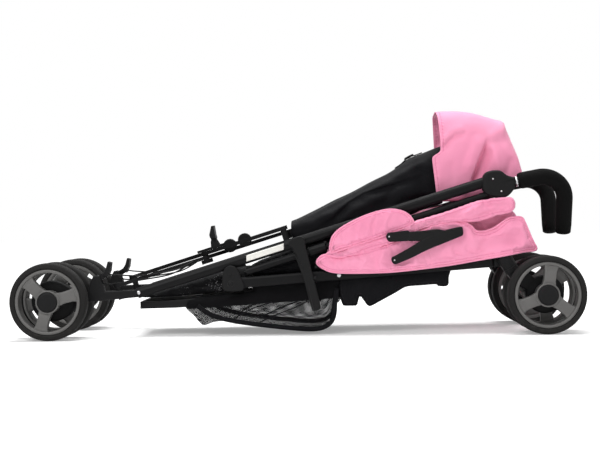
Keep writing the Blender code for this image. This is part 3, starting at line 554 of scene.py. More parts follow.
def folds(x, z, lines):
    """Relief in metres at x, z from fold lines: each is (points in mm, width, depth in mm), a bell across the
    line that fades out towards its ends. Positive depth stands proud. With a fourth value, 1 or -1, the cloth
    laps over itself there: only that side of the line is moved, with a crisp edge 1.6 mm wide."""
    lap_edge = 0.0016
    flat = np.stack([np.ravel(x), np.ravel(z)], -1)
    total = np.zeros(len(flat))
    for points, width, depth, *lap in lines:
        gap, share, side = off_line(flat, np.array(points, float) * 0.001)
        bell = np.exp(-(gap / (width * 0.001)) ** 2) * np.clip(np.sin(math.pi * share) * 1.6, 0, 1)
        if lap:
            bell *= 0.5 + 0.5 * np.tanh(lap[0] * side * gap / lap_edge)
        total += depth * 0.001 * bell
    return total.reshape(np.shape(x))


def away_from(ring):
    """Unit directions out of a closed 2-D outline, square to it."""
    out = np.roll(ring, -1, 0) - np.roll(ring, 1, 0)
    out = np.stack([out[:, 1], -out[:, 0]], -1) / np.linalg.norm(out, axis=1, keepdims=True)
    return out * np.sign(((ring - ring.mean(0)) * out).sum())


def filled(edge, step):
    """Points and triangles inside a closed outline, over a hexagonal net."""
    low, high = edge.min(0), edge.max(0)
    xs, zs = np.arange(low[0], high[0], step), np.arange(low[1], high[1], step * 0.866)
    net = np.stack(np.meshgrid(xs, zs), -1)
    net[1::2, :, 0] += step / 2
    net = net.reshape(-1, 2)
    ring = np.vstack([edge, edge[:1]])
    a, b = ring[:-1], ring[1:]
    straddle = (a[None, :, 1] > net[:, None, 1]) != (b[None, :, 1] > net[:, None, 1])
    slope = (b[:, 0] - a[:, 0]) / np.where(b[:, 1] == a[:, 1], 1e-9, b[:, 1] - a[:, 1])
    meets = a[:, 0] + (net[:, None, 1] - a[:, 1]) * slope
    inside = (straddle & (net[:, None, 0] < meets)).sum(1) % 2 == 1
    net = net[inside & (off_line(net, ring)[0] > 0.55 * step)]
    flat = [Vector(p) for p in np.vstack([edge, net])]
    found = delaunay_2d_cdt(flat, [], [list(range(len(edge)))], 1, 1e-7)
    return np.array([tuple(p) for p in found[0]]), np.array(found[2])


def panel(name, outline, side, middle, half, rim, lines=(), step=0.0045, wall=0.0, sag=0.0):
    """A stuffed panel in the X-Z plane: front and back rise from the outline as a quarter circle over the
    width rim, by half, and carry the fold lines. With a wall, the two outlines stand that far each side of
    the middle and a band of cloth joins them, which hangs in by sag between its edges, with soft pleats
    across it. Its UV map is the length along the outline and the distance from it."""
    edge = curve(outline, step, True)
    points, faces = filled(edge, step)
    deep, share, _ = off_line(points, np.vstack([edge, edge[:1]]))
    swell = half * np.sqrt(1 - (1 - np.clip(deep / rim, 0, 1)) ** 2)
    relief = folds(points[:, 0], points[:, 1], lines) * np.clip(deep / rim, 0, 1)
    seam = np.stack([share * len(edge) * step, deep], -1)
    front = np.stack([points[:, 0], side * (middle + wall + swell + relief), points[:, 1]], -1)
    lift = relief if wall else 0.0
    back = np.stack([points[:, 0], side * (middle - wall - swell - lift), points[:, 1]], -1)
    rows = [front, back]
    pairs = [seam, seam]
    total = len(points)
    if wall:
        around = np.array([int(np.argmin(((points - p) ** 2).sum(1))) for p in edge])
        twin = total + np.arange(total)
        across = np.linspace(1, -1, max(int(2 * wall / 0.006), 4))[1:-1, None]
        along = np.arange(len(edge)) * step
        pleats = np.sin(along / 0.021 + 2.2 * across) * np.sin(along / 0.047)
        dip = sag * (1 - across ** 2) * (1 + 0.5 * pleats)
        band = edge[None] - dip[..., None] * away_from(edge)[None]
        y = side * (middle + wall * across) * np.ones(len(edge))
        band = np.stack([band[..., 0], y, band[..., 1]], -1).reshape(-1, 3)
        index = np.vstack([around, 2 * total + np.arange(len(band)).reshape(len(across), -1), twin[around]])
        quads = quads_of(np.hstack([index, index[:, :1]])).tolist()
        rows.append(band)
        pairs.append(np.zeros((len(band), 2)))
    else:
        inner = deep > 1e-5
        twin = np.arange(total)
        twin[inner] = total + np.arange(inner.sum())
        rows[1], pairs[1] = back[inner], seam[inner]
        quads = []
    item = new_item(name, np.vstack(rows), faces.tolist() + twin[faces][:, ::-1].tolist() + quads)
    lay_uv(item.data, np.vstack(pairs))
    return outwards(item)


def corners_of(shape):
    """The point number of each face corner."""
    corner = np.empty(len(shape.loops), int)
    shape.loops.foreach_get("vertex_index", corner)
    return corner


def lay_uv(shape, pairs):
    """Store a pair of lengths for each point as the UV map that the stitches follow."""
    uv = pairs[corners_of(shape)].astype(np.float32)
    shape.uv_layers.new(name="cloth").data.foreach_set("uv", uv.ravel())


def places_of(shape):
    """The places of a mesh's points."""
    places = np.empty(len(shape.vertices) * 3)
    shape.vertices.foreach_get("co", places)
    return places.reshape(-1, 3)


def put_places(shape, places):
    """Move a mesh's points."""
    shape.vertices.foreach_set("co", places.ravel())
    shape.update()


def stuffed(item, pressure, slack, reach):
    """Fill a closed piece with air and let its cloth, cut longer by the share slack, settle in a cloth
    simulation without gravity. Points near its outline are held, and none moves further than reach. Then
    smooth it once."""
    held_rim, last_moment = 0.002, 20
    shape = item.data
    start = places_of(shape)
    pair = np.empty(len(shape.loops) * 2, np.float32)
    shape.uv_layers["cloth"].data.foreach_get("uv", pair)
    deep = np.zeros(len(start))
    deep[corners_of(shape)] = pair.reshape(-1, 2)[:, 1]
    held = item.vertex_groups.new(name="held")
    held.add(np.flatnonzero(deep < held_rim).tolist(), 1.0, "REPLACE")
    air = item.modifiers.new("air", "CLOTH")
    cloth = air.settings
    cloth.quality = 5
    cloth.mass = 0.15
    cloth.tension_stiffness = 25.0
    cloth.compression_stiffness = 25.0
    cloth.shear_stiffness = 8.0
    cloth.bending_stiffness = 0.15
    cloth.use_pressure = True
    cloth.uniform_pressure_force = pressure
    cloth.shrink_min = -slack
    cloth.vertex_group_mass = "held"
    cloth.effector_weights.gravity = 0.0
    air.point_cache.frame_start = 1
    air.point_cache.frame_end = last_moment
    for moment in range(1, last_moment + 1):
        bpy.context.scene.frame_set(moment)
    settled = item.evaluated_get(bpy.context.evaluated_depsgraph_get())
    move = places_of(settled.data) - start
    move *= np.minimum(1.0, reach / np.maximum(np.linalg.norm(move, axis=1, keepdims=True), 1e-9))
    item.modifiers.remove(air)
    item.vertex_groups.clear()
    bpy.context.scene.frame_set(1)
    put_places(shape, start + move)
    smooth = item.modifiers.new("smooth", "SUBSURF")
    smooth.levels = 1
    smooth.render_levels = 1
    return item


def pushed(item, side):
    """Push a side piece outwards over the caster's socket, fading as a bell over the reach of the push."""
    socket_x, socket_z, push_reach, push = 0.398, 0.146, 0.034, 0.0135
    places = places_of(item.data)
    off = np.hypot(places[:, 0] - socket_x, places[:, 2] - socket_z)
    places[:, 1] += side * push * np.exp(-(off / push_reach) ** 2)
    put_places(item.data, places)
    return item


def flat_route(points, y, step, closed=False):
    """A curve in the X-Z plane at the distance y from the middle plane."""
    path = curve(points, step, closed)
    return np.stack([path[:, 0], np.full(len(path), y), path[:, 1]], -1)


wing_outline = [
    (67, 161), (84, 165), (104, 171), (140, 182), (172, 192), (204, 203), (226, 214), (223, 226), (209, 237),
    (187, 242), (162, 239), (130, 229), (98, 214), (78, 200), (68, 184)]
lobe_outline = [
    (40, 141), (46, 152), (58, 157), (90, 158), (130, 164), (175, 176), (220, 193), (262, 210), (300, 217),
    (323, 215), (338, 208), (348, 198), (363, 197), (382, 203), (397, 213), (412, 222), (434, 223),
    (441, 214), (448, 197), (457, 176), (463, 164), (460, 159), (440, 157), (421, 154), (372, 146),
    (306, 135), (249, 128), (182, 122), (112, 121), (73, 123), (53, 130)]
roll_outline = [
    (56, 156), (80, 149), (110, 153), (150, 164), (200, 182), (250, 203), (300, 213), (339, 214), (363, 218),
    (388, 226), (410, 230), (421, 237), (425, 248), (422, 259), (412, 264), (384, 262), (355, 258),
    (334, 252), (289, 237), (230, 220), (180, 203), (130, 186), (90, 172), (66, 166)]
wing_folds = [
    ([(96, 176), (90, 196), (100, 214)], 5, -1.0), ([(118, 182), (122, 204), (132, 226)], 4, 0.8),
    ([(146, 190), (150, 214), (160, 236)], 4, -1.0), ([(170, 197), (176, 218), (186, 240)], 4, 0.8),
    ([(196, 206), (200, 222), (206, 236)], 4, -0.8), ([(72, 172), (120, 186), (176, 202), (222, 220)], 6,
    1.2)]
lobe_folds = [
    ([(404, 206), (418, 212), (436, 222)], 3, -2.6, 1), ([(50, 150), (90, 154), (140, 164), (200, 180)], 5,
    -2.4), ([(60, 136), (100, 142), (150, 148)], 9, 1.6), ([(330, 224), (346, 208), (352, 198), (372, 196)],
    8, -4.5), ([(300, 214), (330, 209), (343, 198)], 5, 2.0), ([(250, 160), (320, 176), (400, 196),
    (446, 206)], 12, 2.0), ([(230, 146), (320, 158), (440, 178)], 9, -1.6), ([(380, 214), (410, 222),
    (436, 214)], 6, -1.8), ([(60, 126), (180, 130), (330, 148), (450, 170)], 3, 0.9)]
roll_folds = [
    ([(70, 158), (120, 168), (180, 186), (230, 206)], 6, 1.6), ([(120, 160), (160, 176), (190, 186)], 3,
    -1.6), ([(300, 226), (350, 238), (418, 254)], 8, 1.8), ([(330, 222), (380, 236), (426, 246)], 4, -3.4,
    -1), ([(350, 222), (384, 230), (416, 236)], 4, -2.0), ([(350, 242), (384, 250), (414, 254)], 4, -1.6),
    ([(240, 210), (300, 230), (340, 246)], 5, -1.2)]
lobe_y, roll_y, wing_y = 0.1140, 0.1152, 0.1186
for word, side in sides:
    body = word + "_frame"
    lobe = panel("seat_lobe_" + word, lobe_outline, side, lobe_y, 0.0048, 0.014, lobe_folds)
    pushed(stuffed(lobe, 4.0, 0.05, 0.005), side)
    settle(lobe, body, pink, "pink_fabric", "seat_side_" + word, fill=0.5)
    rolled = panel("seat_roll_" + word, roll_outline, side, roll_y, 0.0056, 0.012, roll_folds)
    settle(stuffed(rolled, 4.0, 0.06, 0.005), body, pink, "pink_fabric", fill=0.5)
    wing = panel("seat_wing_" + word, wing_outline, side, wing_y, 0.0044, 0.012, wing_folds, 0.004)
    settle(stuffed(wing, 4.0, 0.05, 0.004), body, pink, "pink_fabric", "side_wing_" + word, fill=0.5)
    for label, outline, y, radius in (("lobe", lobe_outline, lobe_y, 0.0021),
                                      ("wing", wing_outline, 0.1196, 0.0019)):
        sewn_edge = tube_round(flat_route(outline, side * y, 0.003, True), radius, 8, closed=True)
        piping = skin(f"piping_{label}_{word}", sewn_edge, loop=True, ends=False)
        settle(pushed(piping, side), body, pink, "pink_fabric")

# Seat pad. The thick middle of the seat, of the same pink canvas over foam, folded between the two frames:
# its end shows past the side lobes, and its top in the gap below the thin tube.
pad_outline = [
    (60, 150), (66, 134), (120, 130), (200, 134), (300, 143), (352, 151), (410, 166), (452, 174), (458, 178),
    (446, 204), (434, 222), (424, 236), (396, 248), (362, 250), (330, 256), (292, 249), (250, 239),
    (160, 211), (90, 187), (68, 172)]
pad_folds = [([(380, 160), (410, 190), (424, 240)], 6, -2.0), ([(200, 150), (320, 175), (440, 190)], 10, 1.6)]
pad = panel("seat_pad_cloth", pad_outline, 1, 0.0, 0.0104, 0.016, pad_folds, 0.006, 0.0795, 0.004)
settle(stuffed(pad, 3.0, 0.04, 0.004), "fabric", pink, "pink_fabric", "seat_pad", fill=0.5)

# Canopy. One sheet of pink canvas over two hoops, tipped back on its hinges with the bundle folded: its front
# edge has a stitched hem, a side flap hangs in front of it, and slack cloth falls in folds to the hinge.
ribs, spread, half_width, arch_power = 110, 181, 0.0765, 0.42
front_fade, notch_height, notch_blur = 0.10, 0.505, 0.014
flap_forward, cloth_back, flap_lift = 0.022, 0.008, 0.0022
crown = curve(
    [(280, 435), (314, 435.5), (349, 433), (380, 426), (399, 420), (414, 414), (418, 402), (427, 379),
    (440, 345), (444, 320)], count=ribs)
hem = curve([(277, 262), (302, 258.5), (345, 262), (388, 278), (422, 292), (443, 304)], count=ribs)
turn = np.linspace(0, math.pi, 500)
arch = np.stack([-np.sign(np.cos(turn)) * np.abs(np.cos(turn)) ** arch_power, np.sin(turn) ** arch_power], -1)
arch = evenly(arch, count=spread)
high, wide = arch[:, 1][None], arch[:, 0][None]
x = hem[:, 0, None] + (crown[:, 0] - hem[:, 0])[:, None] * high
z = hem[:, 1, None] + (crown[:, 1] - hem[:, 1])[:, None] * high
back = np.linspace(0, 1, ribs)[:, None]
near_front = np.exp(-(back / front_fade) ** 2)
notch = 1 / (1 + np.exp(-(high - notch_height) / notch_blur))
drawn_back = cloth_back * notch * np.clip((1 - high) / 0.5, 0, 1) ** 0.6
x = x + near_front * (-flap_forward * high * (1 - notch) + drawn_back)
side_wall = np.abs(wide) ** 6
canopy_folds = [
    ([(284, 358), (300, 377), (314, 388), (340, 393)], 9, -5.5, -1), ([(288, 370), (308, 396), (338, 402)], 8,
    3.0), ([(376, 380), (366, 350), (354, 320), (340, 280)], 15, -15.0, 1), ([(366, 386), (352, 350),
    (336, 306)], 12, 4.0), ([(416, 424), (400, 396), (380, 374)], 11, 5.4), ([(380, 378), (394, 342),
    (404, 300)], 11, 6.0), ([(384, 360), (374, 330), (366, 300)], 7, -6.0), ([(374, 376), (420, 376),
    (446, 350)], 12, -4.0), ([(425, 345), (418, 320), (408, 300)], 8, -2.6), ([(330, 420), (346, 404),
    (352, 388)], 9, 1.8), ([(300, 335), (306, 310), (310, 288)], 9, -1.8), ([(282, 330), (284, 306),
    (284, 284)], 6, 1.2)]
relief = folds(x, z, canopy_folds) * side_wall
flap = flap_lift * near_front * (1 - notch) * side_wall
soft = 0.0012 * np.sin(x / 0.017 + 3.0 * wide) * np.sin(z / 0.023)
soft = soft + 0.0016 * np.sin(wide * 5 + x / 0.03) * (1 - side_wall)
y = half_width * wide * (1 - 0.03 * back) + np.sign(wide) * (relief + flap + soft * side_wall)
grid = np.stack([x, y, z + soft * (1 - side_wall)], -1)
across = np.cumsum(np.linalg.norm(np.diff(grid, axis=1, prepend=grid[:, :1]), axis=2), 1)
inward = np.cumsum(np.linalg.norm(np.diff(grid, axis=0, prepend=grid[:1]), axis=2), 0)
canopy = skin("canopy", grid, False, ends=False)
lay_uv(canopy.data, np.stack([across, inward], -1).reshape(-1, 2))
wall = canopy.modifiers.new("cloth", "SOLIDIFY")
wall.thickness = 0.0014
wall.offset = 0.0
settle(canopy, "hood", pink, "pink_fabric", "hood")
clip_line = [(0.01, 73.0), (7.0, 73.4), (7.4, 76.0), (7.0, 78.5), (7.0, 91.7), (0.01, 91.7)]
hinge_place = (0.330, 0.0, 0.2808)
for word, side in sides:
    clip = skin("canopy_clip_" + word, revolved(clip_line, hinge_place, 40, side))
    settle(clip, "hood", nylon, "plastic")

# Backrest. The back of the seat in black polyester canvas, folded over its own lining into a long wedge. It
# lies on the two main tubes, with a rolled top ridge, lengthwise pleats and a flat square-cut lower end.
black = cloth_finish("black_canvas", (0.0010, 0.0010, 0.0016), (0.0036, 0.0036, 0.0050), 1300.0, (0.62, 0.84),
                     0.0020, (0.012, 0.012, 0.014), Sheen_Weight=0.015, Sheen_Roughness=0.5,
                     Specular_IOR_Level=0.12)
stations = [
    (-10, 86, 193, 222), (-9, 87, 190, 224), (4, 87.5, 178, 229), (40, 88, 176, 246), (76, 88.6, 186, 264),
    (112, 88.6, 197, 280), (150, 88.6, 208, 300), (190, 88, 219, 320), (212, 86, 226, 335),
    (228, 82, 231, 346), (250, 71, 240, 354), (280, 67, 249, 366), (291, 64, 253, 370)]
side_power, top_power, base_power, pleat_depth = 0.45, 0.62, 0.4, 0.003
line = curve(stations, 0.0028)
turn = np.linspace(0, 2 * math.pi, 160, endpoint=False)
cosine, sine = np.cos(turn)[None], np.sin(turn)[None]
run, half, low, high = (column[:, None] for column in line.T)
y = half * np.sign(cosine) * np.abs(cosine) ** side_power
tall = np.where(sine > 0, top_power, base_power)
z = (high + low) / 2 + (high - low) / 2 * np.sign(sine) * np.abs(sine) ** tall
x = run * np.ones_like(cosine)
cover_folds = [
    ([(20, 224), (73, 250), (142, 288), (205, 322), (268, 352)], 5, -5.0), ([(10, 214), (73, 240), (142, 279),
    (205, 313), (268, 343)], 7, 3.0), ([(30, 205), (70, 226), (103, 258), (134, 276), (198, 294), (262, 312)],
    11, -7.0, -1), ([(60, 212), (100, 232), (150, 262), (214, 284), (266, 296)], 9, 3.6), ([(84, 212),
    (122, 236), (167, 252), (230, 266), (276, 276)], 9, -6.0, -1), ([(150, 236), (180, 268), (196, 290)], 6,
    -3.4), ([(176, 240), (204, 262), (214, 284)], 6, 2.6), ([(205, 240), (232, 258), (262, 268)], 5, -3.2),
    ([(110, 222), (140, 232), (190, 240)], 4, 2.4)]
side_wall = np.clip(np.abs(y) / half, 0, 1) ** 5
crumple = 0.0014 * np.sin(x / 0.011 + z / 0.007) * np.sin(x / 0.027 - z / 0.012)
y = y + np.sign(y) * side_wall * (folds(x, z, cover_folds) + crumple) * np.clip(run / 0.03, 0, 1)
ridge = np.clip(sine, 0, 1) * (1 - side_wall)
pleats = 0.5 + 0.5 * np.sin(np.abs(y) / 0.0085 + x / 0.05)
z = z - ridge * pleat_depth * pleats * np.clip((run + 0.01) / 0.05, 0, 1)
cover = skin("backrest_cloth", np.stack([x, y, z], -1))
settle(cover, "fabric", black, "black_fabric", "backrest_cover", fill=0.4)

# Cloth under the seat. Flaps of the backrest's black polyester that hang below the pad in folded layers,
# with uneven hems, and are sewn to the pad's lower edge.
under_outline = [
    (80, 104), (81, 80), (87, 62), (90, 55.5), (103, 55), (116, 55.5), (119, 63), (123, 74), (131, 64),
    (141, 53.5), (160, 62), (194, 80), (214, 90.5), (245, 93), (272, 94.5), (277, 91), (295, 92), (297, 108),
    (298, 128), (250, 127), (200, 126.5), (120, 123), (82, 119)]
under_folds = [
    ([(100, 64), (104, 92), (98, 118)], 4, -2.4), ([(122, 74), (126, 98), (124, 120)], 4, 2.4), ([(146, 62),
    (150, 90), (160, 120)], 4, -2.4), ([(182, 80), (186, 100), (190, 122)], 5, 2.0), ([(90, 112), (200, 116),
    (296, 116)], 4, -1.6), ([(230, 100), (234, 112), (238, 124)], 4, 1.6)]
under = panel("under_cloth", under_outline, 1, 0.0, 0.0078, 0.009, under_folds, 0.005, 0.082, 0.006)
settle(under, "fabric", black, "black_fabric", "under_cover", fill=0.2)

# Basket. A black net bag under the seat, folded flat lengthwise and sagging between its bound edges. Net: two
# sets of crossed threads, worked out from X plus and minus Y plus Z, with clear holes below its upper border.
net, given, made = node_group("net", ("Thread",), Threads=300.0)
axes = new_node(net, "SeparateXYZ", {0: given["Vector"]})
rise = worked("ADD", axes["Y"], axes["Z"])
pace = worked("MULTIPLY", given["Threads"], 2 * math.pi)
crossed = (wave(worked(way, axes["X"], rise), pace) for way in ("ADD", "SUBTRACT"))
feed(made["Thread"], worked("MAXIMUM", *crossed))
mesh_cloth, shader, place = new_material("net_cloth", Roughness=0.8, Specular_IOR_Level=0.10)
thread = use_group(net, place, Threads=360.0)["Thread"]
patch = ranged(noise(place, 9.0), 0.3, 0.7, 0.0, 1.0)
feed(shader["Base Color"], mixed(patch, (0.0012, 0.0012, 0.0016), (0.0034, 0.0034, 0.0040)))
border_slope, border_start, border_end = 0.06, 0.0655, 0.0665
axes = new_node(place.id_data, "SeparateXYZ", {0: place})
level = worked("SUBTRACT", axes["Z"], worked("MULTIPLY", axes["X"], border_slope))
border = ranged(level, border_start, border_end, 0.0, 1.0)
feed(shader["Alpha"], worked("MAXIMUM", ranged(thread, 0.16, 0.46, 0.30, 1.0), border))
bumped(shader, thread, 0.6, 0.0004)
bag_outline = [
    (-221, 57), (-204, 39), (-187, 21), (-168, 26), (-148, 28), (-112, 25), (-40, 17), (0, 12), (33, 11),
    (57, 15), (70, 34), (74, 58), (84, 66), (85, 92), (85, 118), (0, 116), (-82, 110), (-88, 96), (-92, 86),
    (-150, 81), (-197, 77), (-216, 73)]
bag_folds = [
    ([(-70, 26), (-20, 42), (25, 62)], 6, -0.8), ([(-180, 40), (-140, 60), (-100, 70)], 7, -0.8),
    ([(-60, 100), (0, 84), (60, 80)], 8, -1.6), ([(20, 20), (50, 50), (60, 90)], 7, 0.8)]
bag = panel("basket_net", bag_outline, 1, 0.0, 0.0095, 0.016, bag_folds, 0.006, 0.080, 0.005)
settle(bag, "fabric", mesh_cloth, "mesh_fabric", "basket", fill=0.1)
outer_tape = [
    (-196, 60), (-176, 45), (-150, 35), (-125, 29), (-95, 24), (-50, 18), (0, 12.5), (30, 11), (50, 14),
    (65, 24), (72, 40), (74, 62), (78, 90)]
short_seams = ([(-125, 33), (-90, 52), (-50, 65)], [(-75, 25), (-42, 40), (-10, 52), (20, 66)])
tape_y = 0.0905
tape_sizes = ((outer_tape, 0.0016, 0.0046), (short_seams[0], 0.001, 0.0013), (short_seams[1], 0.001, 0.0013))
for word, side in sides:
    tapes = [tube_round(flat_route(route, side * tape_y, 0.005), flat, 12, tall)
             for route, flat, tall in tape_sizes]
    settle(joined_grids("basket_tapes_" + word, tapes), "fabric", black, "mesh_fabric")

# Gathered cloth. Slack net and cover cloth bunched up between the tubes behind the basket, and a black apron
# under the lower end of the seat, both sewn to the basket's upper border.
bunch_outline = [
    (-309, 76), (-306, 80), (-270, 89), (-230, 101), (-190, 113), (-150, 124), (-110, 132), (-96, 130),
    (-93, 114), (-96, 98), (-100, 88), (-150, 84), (-200, 80), (-250, 76.5)]
bunch_folds = [
    ([(-245, 86), (-200, 96), (-140, 104)], 4, -4.0), ([(-230, 84), (-190, 88), (-120, 94)], 4, 3.0),
    ([(-200, 104), (-160, 108), (-110, 110)], 4, -3.0), ([(-180, 84), (-170, 100), (-166, 112)], 4, 2.4),
    ([(-140, 86), (-132, 100), (-128, 116)], 4, -2.6)]
bunched, shader, place = new_material("bunched_net", Roughness=0.8, Specular_IOR_Level=0.15)
# Pale specks: painted glints of light through the bunched net's holes, in patches.
speck = noise(place, 330.0, 2.0, 0.7)
patch = ranged(noise(place, 28.0, 2.0), 0.46, 0.60, 0.0, 1.0)
painted_glint = worked("MULTIPLY", ranged(speck, 0.62, 0.68, 0.0, 1.0), patch)
feed(shader["Base Color"], mixed(painted_glint, (0.0022, 0.0022, 0.0028), (0.30, 0.30, 0.31)))
bumped(shader, speck, 0.7, 0.0012)
bunch = panel("gathered_net", bunch_outline, 1, 0.0, 0.0110, 0.012, bunch_folds, 0.006, 0.070, 0.006)
settle(stuffed(bunch, 2.0, 0.09, 0.006), "fabric", bunched, "mesh_fabric", fill=0.1)
apron_outline = [
    (-90, 119), (-90, 138), (-60, 150), (-24, 164), (0, 172), (30, 174), (56, 168), (58, 150), (60, 133),
    (84, 128), (86, 120), (40, 119), (-20, 118)]
apron_folds = [
    ([(-70, 124), (-20, 140), (30, 156)], 5, -3.0), ([(-60, 130), (-10, 128), (50, 140)], 5, 2.6),
    ([(30, 122), (34, 138), (36, 156)], 4, -2.4)]
apron = panel("seat_apron", apron_outline, 1, 0.0, 0.0080, 0.010, apron_folds, 0.006, 0.076, 0.004)
settle(stuffed(apron, 2.0, 0.05, 0.004), "fabric", black, "black_fabric", fill=0.2)

# Moulded plates with rounded rims. Two cheeks over the main tube carry the front leg on a pin, the housing
# caps the tubes' upper ends and holds the handle's neck, the forked bracket clamps the seat's side, and the
# storage latch hooks over a stud.
def plate(outline, side, y_inner, y_outer, edge):
    """Grid of a moulded plate between two distances from the middle plane, in mm. Towards both faces the
    rings of its outline are drawn in along a quarter circle of the radius edge."""
    ring = curve(outline, 0.0024, True)
    turn = np.linspace(0, math.pi / 2, 5)
    inset = np.r_[1.25, 1 - np.sin(turn)] * edge
    level = np.r_[0.0, 1 - np.cos(turn)] * edge
    inset = np.r_[inset, inset[::-1]] * 0.001
    y = np.r_[y_inner + level, (y_outer - level)[::-1]] * 0.001
    flat = ring[None] - inset[:, None, None] * away_from(ring)[None]
    return np.stack([flat[..., 0], side * y[:, None] * np.ones(len(ring)), flat[..., 1]], -1)


hip_outline = [
    (-145, 100), (-144.5, 112), (-143, 124), (-138, 134), (-128, 138.5), (-117, 134), (-111, 123),
    (-106, 110), (-102, 98), (-106, 90), (-124, 88.3), (-140, 90)]
housing_outline = [
    (362, 282), (362.6, 296), (366, 307), (374, 313), (386, 315), (398, 313.5), (408, 306), (417, 302),
    (425, 300), (426, 291), (424, 280), (417, 270), (408, 263), (395, 260.5), (380, 264), (367, 271)]
latch_outline = [
    (-13, 175), (-14, 182), (-9.5, 188), (0, 192), (9, 193.5), (16, 190), (18, 181), (20, 168), (33, 114),
    (45.5, 60), (45.5, 53), (41, 50), (33, 49), (28.5, 53), (14, 110), (-5, 162)]
blade_outlines = [
    [(213, 189), (214, 197.5), (244, 200.5), (272, 203), (278, 202), (290, 200), (311, 196), (311, 188),
    (280, 182), (243, 181), (215, 181.5)], [(184, 142), (184, 150), (191, 153.5), (216, 167), (246, 184),
    (282, 199), (300, 204), (316, 207), (320.5, 205), (321.5, 198), (321, 192), (316, 188), (285, 176),
    (252, 163), (225, 150), (197, 138.5), (189, 137)], [(174, 190), (176, 196), (182, 198), (200, 200),
    (217, 201), (218.5, 192), (218, 182), (200, 180.5), (182, 180), (176, 184)]]
strap_boss = [(0.01, 108.3), (4.5, 108.3), (4.5, 125.0), (0.01, 125.0)]
latch_boss = [(0.01, 108.3), (6.0, 108.3), (6.0, 119.0), (0.01, 119.0)]
hip_pin = [(0.01, 87.0), (5.6, 87.0), (6.0, 87.6), (6.0, 112.6), (5.6, 113.2), (0.01, 113.2)]
hip_place, strap_place, latch_place = (-0.128, 0.0, 0.103), (0.181, 0.0, 0.192), (0.002, 0.0, 0.1818)
blade_swell = (0.0, 0.15, 0.5)
for word, side in sides:
    cheeks = [plate(hip_outline, side, 87.7, 91.7, 1.6), plate(hip_outline, side, 108.3, 112.6, 2.0),
              revolved(hip_pin, hip_place, 32, side)]
    housing = [plate(housing_outline, side, 88.0, 112.2, 4.5)]
    blades = [plate(outline, side, 124.0 - swell, 129.0 + swell, 1.7)
              for outline, swell in zip(blade_outlines, blade_swell)]
    blades.append(revolved(strap_boss, strap_place, 24, side))
    bars = [plate(latch_outline, side, 118.0, 123.0, 1.8), revolved(latch_boss, latch_place, 24, side)]
    for name, grids, part, node_name in (("hip_plates_", cheeks, "frame", "hip_bracket_"),
                                         ("handle_housing_", housing, "frame", "handle_hinge_"),
                                         ("forked_bracket_", blades, "frame", "seat_bracket_"),
                                         ("latch_bar_", bars, "latch", "storage_latch_")):
        settle(joined_grids(name + word, grids), f"{word}_{part}", nylon, "plastic", node_name + word)

# Bright and small trim. Zinc-plated rivet heads and a blank silver-white sticker on each main tube, a button
# on the seat strap, the webbing loop with its buckle on the backrest's ridge, and the brake wire's loops.
zinc = hard_finish("zinc_plate", 2600.0, (0.42, 0.42, 0.43), (0.66, 0.66, 0.67), (0.22, 0.38), Metallic=1.0)
sticker_film = hard_finish("sticker_film", 300.0, (0.70, 0.69, 0.64), (0.82, 0.81, 0.77), (0.30, 0.45),
                           Specular_IOR_Level=0.4)


def rivet(name, x, y, z, radius, side, look, body):
    """A domed rivet head that stands on a surface at the distance y, facing outwards. Sizes in
    millimetres."""
    domed = [(0.01, -0.8), (radius, -0.8), (radius, 0.3),
             (0.86 * radius, 0.8), (0.5 * radius, 1.15), (0.01, 1.3)]
    item = skin(name, revolved(domed, (x * 0.001, side * y * 0.001, z * 0.001), 32, side))
    settle(item, body, look, "axle")


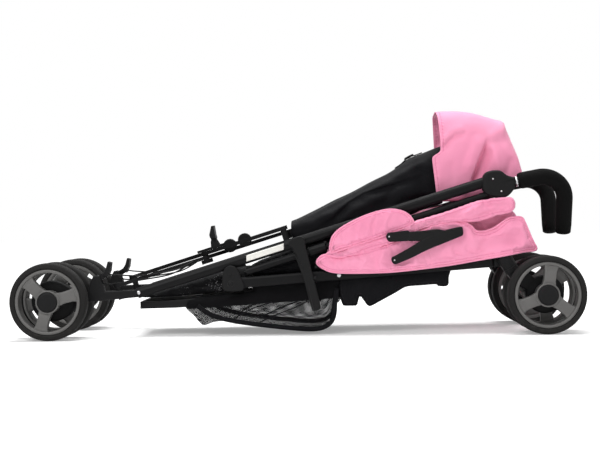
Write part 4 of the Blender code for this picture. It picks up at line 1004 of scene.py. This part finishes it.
rivets = (
    ("frame", ((382, 112.2, 298, 1.7), (398, 112.2, 274, 1.7), (179.6, 129.5, 190.0, 1.6),
    (189.4, 129.1, 144.6, 1.6), (-129, 112.6, 120, 3.2), (-128, 113.2, 103, 3.0), (-309, 107.6, 88, 3.8),
    (57, 110.4, 181, 2.8))), ("latch", ((36, 123.0, 112.6, 3.0), (38.3, 123.0, 133.8, 2.6))))
zinc_rivets = (0, 1, 2, 3, 6)
sticker_start, sticker_end, sticker_half, sticker_y = -97, -24, 6.0, 108.15
tube_x, tube_z, tube_rise = -312, 87, math.tan(math.radians(16.8))
for word, side in sides:
    for part, places in rivets:
        for number, (x, y, z, radius) in enumerate(places):
            look = zinc if part == "frame" and number in zinc_rivets else nylon
            rivet(f"rivet_{part}_{word}_{number}", x, y, z, radius, side, look, f"{word}_{part}")
    u = np.linspace(sticker_start, sticker_end, 40)[:, None] * np.ones(12)
    v = np.linspace(-sticker_half, sticker_half, 12) * np.ones_like(u)
    bent = sticker_y - 0.5 * (v / sticker_half) ** 4
    film = np.stack([u, side * bent, tube_z + (u - tube_x) * tube_rise + v], -1)
    sticker = skin("sticker_" + word, film * 0.001, False, ends=False)
    thickness = sticker.modifiers.new("film", "SOLIDIFY")
    thickness.thickness = 0.0003
    settle(sticker, word + "_frame", sticker_film, "frame")
neck_heading = np.array([math.cos(neck_slope), 0, math.sin(neck_slope)])
neck_line = np.array([0.0010, 0.0015, 0.0046, 0.0052])[:, None] * neck_heading
for word, side in sides:
    path = neck_line + np.array(neck_place) + (0, side * tube_y, 0)
    collar = skin("neck_collar_" + word, tube_round(path, (0.0098, 0.0104, 0.0104, 0.0098), 32))
    settle(collar, word + "_handle", zinc, "frame")
rivet("seat_button_near", 82.4, 110.0, 116.6, 4.0, -1, zinc, "fabric")

webbing_route = [(200, 0, 327), (212, 0, 335), (222, 0, 344), (231, 0, 350), (240, 0, 352), (254, 0, 357)]
strap = skin("ridge_strap", tube_round(curve(webbing_route, 0.002), 0.0125, 20, 0.0011))
settle(strap, "fabric", black, "black_fabric")
buckle_line = curve([(222, -16, 346), (222, 16, 346), (234, 16, 352), (234, -16, 352)], 0.0015, True)
buckle = tube_round(buckle_line, 0.0022, 12, 0.0018, True, (0.3, 0, 1))
settle(skin("ridge_buckle", buckle, loop=True, ends=False), "fabric", nylon, "plastic")
wire_routes = (
    [(-392, 100, 119), (-372, 96, 124), (-345, 90, 122), (-300, 84, 121), (-240, 80, 131), (-205, 70, 146)],
    [(-392, 100, 112), (-370, 94, 105), (-340, 88, 108), (-300, 80, 113), (-250, 74, 122), (-215, 64, 140)])
for number, route in enumerate(wire_routes):
    for word, side in sides:
        path = curve([(x, side * y, z) for x, y, z in route], 0.004)
        wire = skin(f"brake_wire_{word}_{number}", tube_round(path, 0.0015, 10))
        settle(wire, word + "_frame", nylon, "frame")

# Finished size, and the end.
low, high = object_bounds()
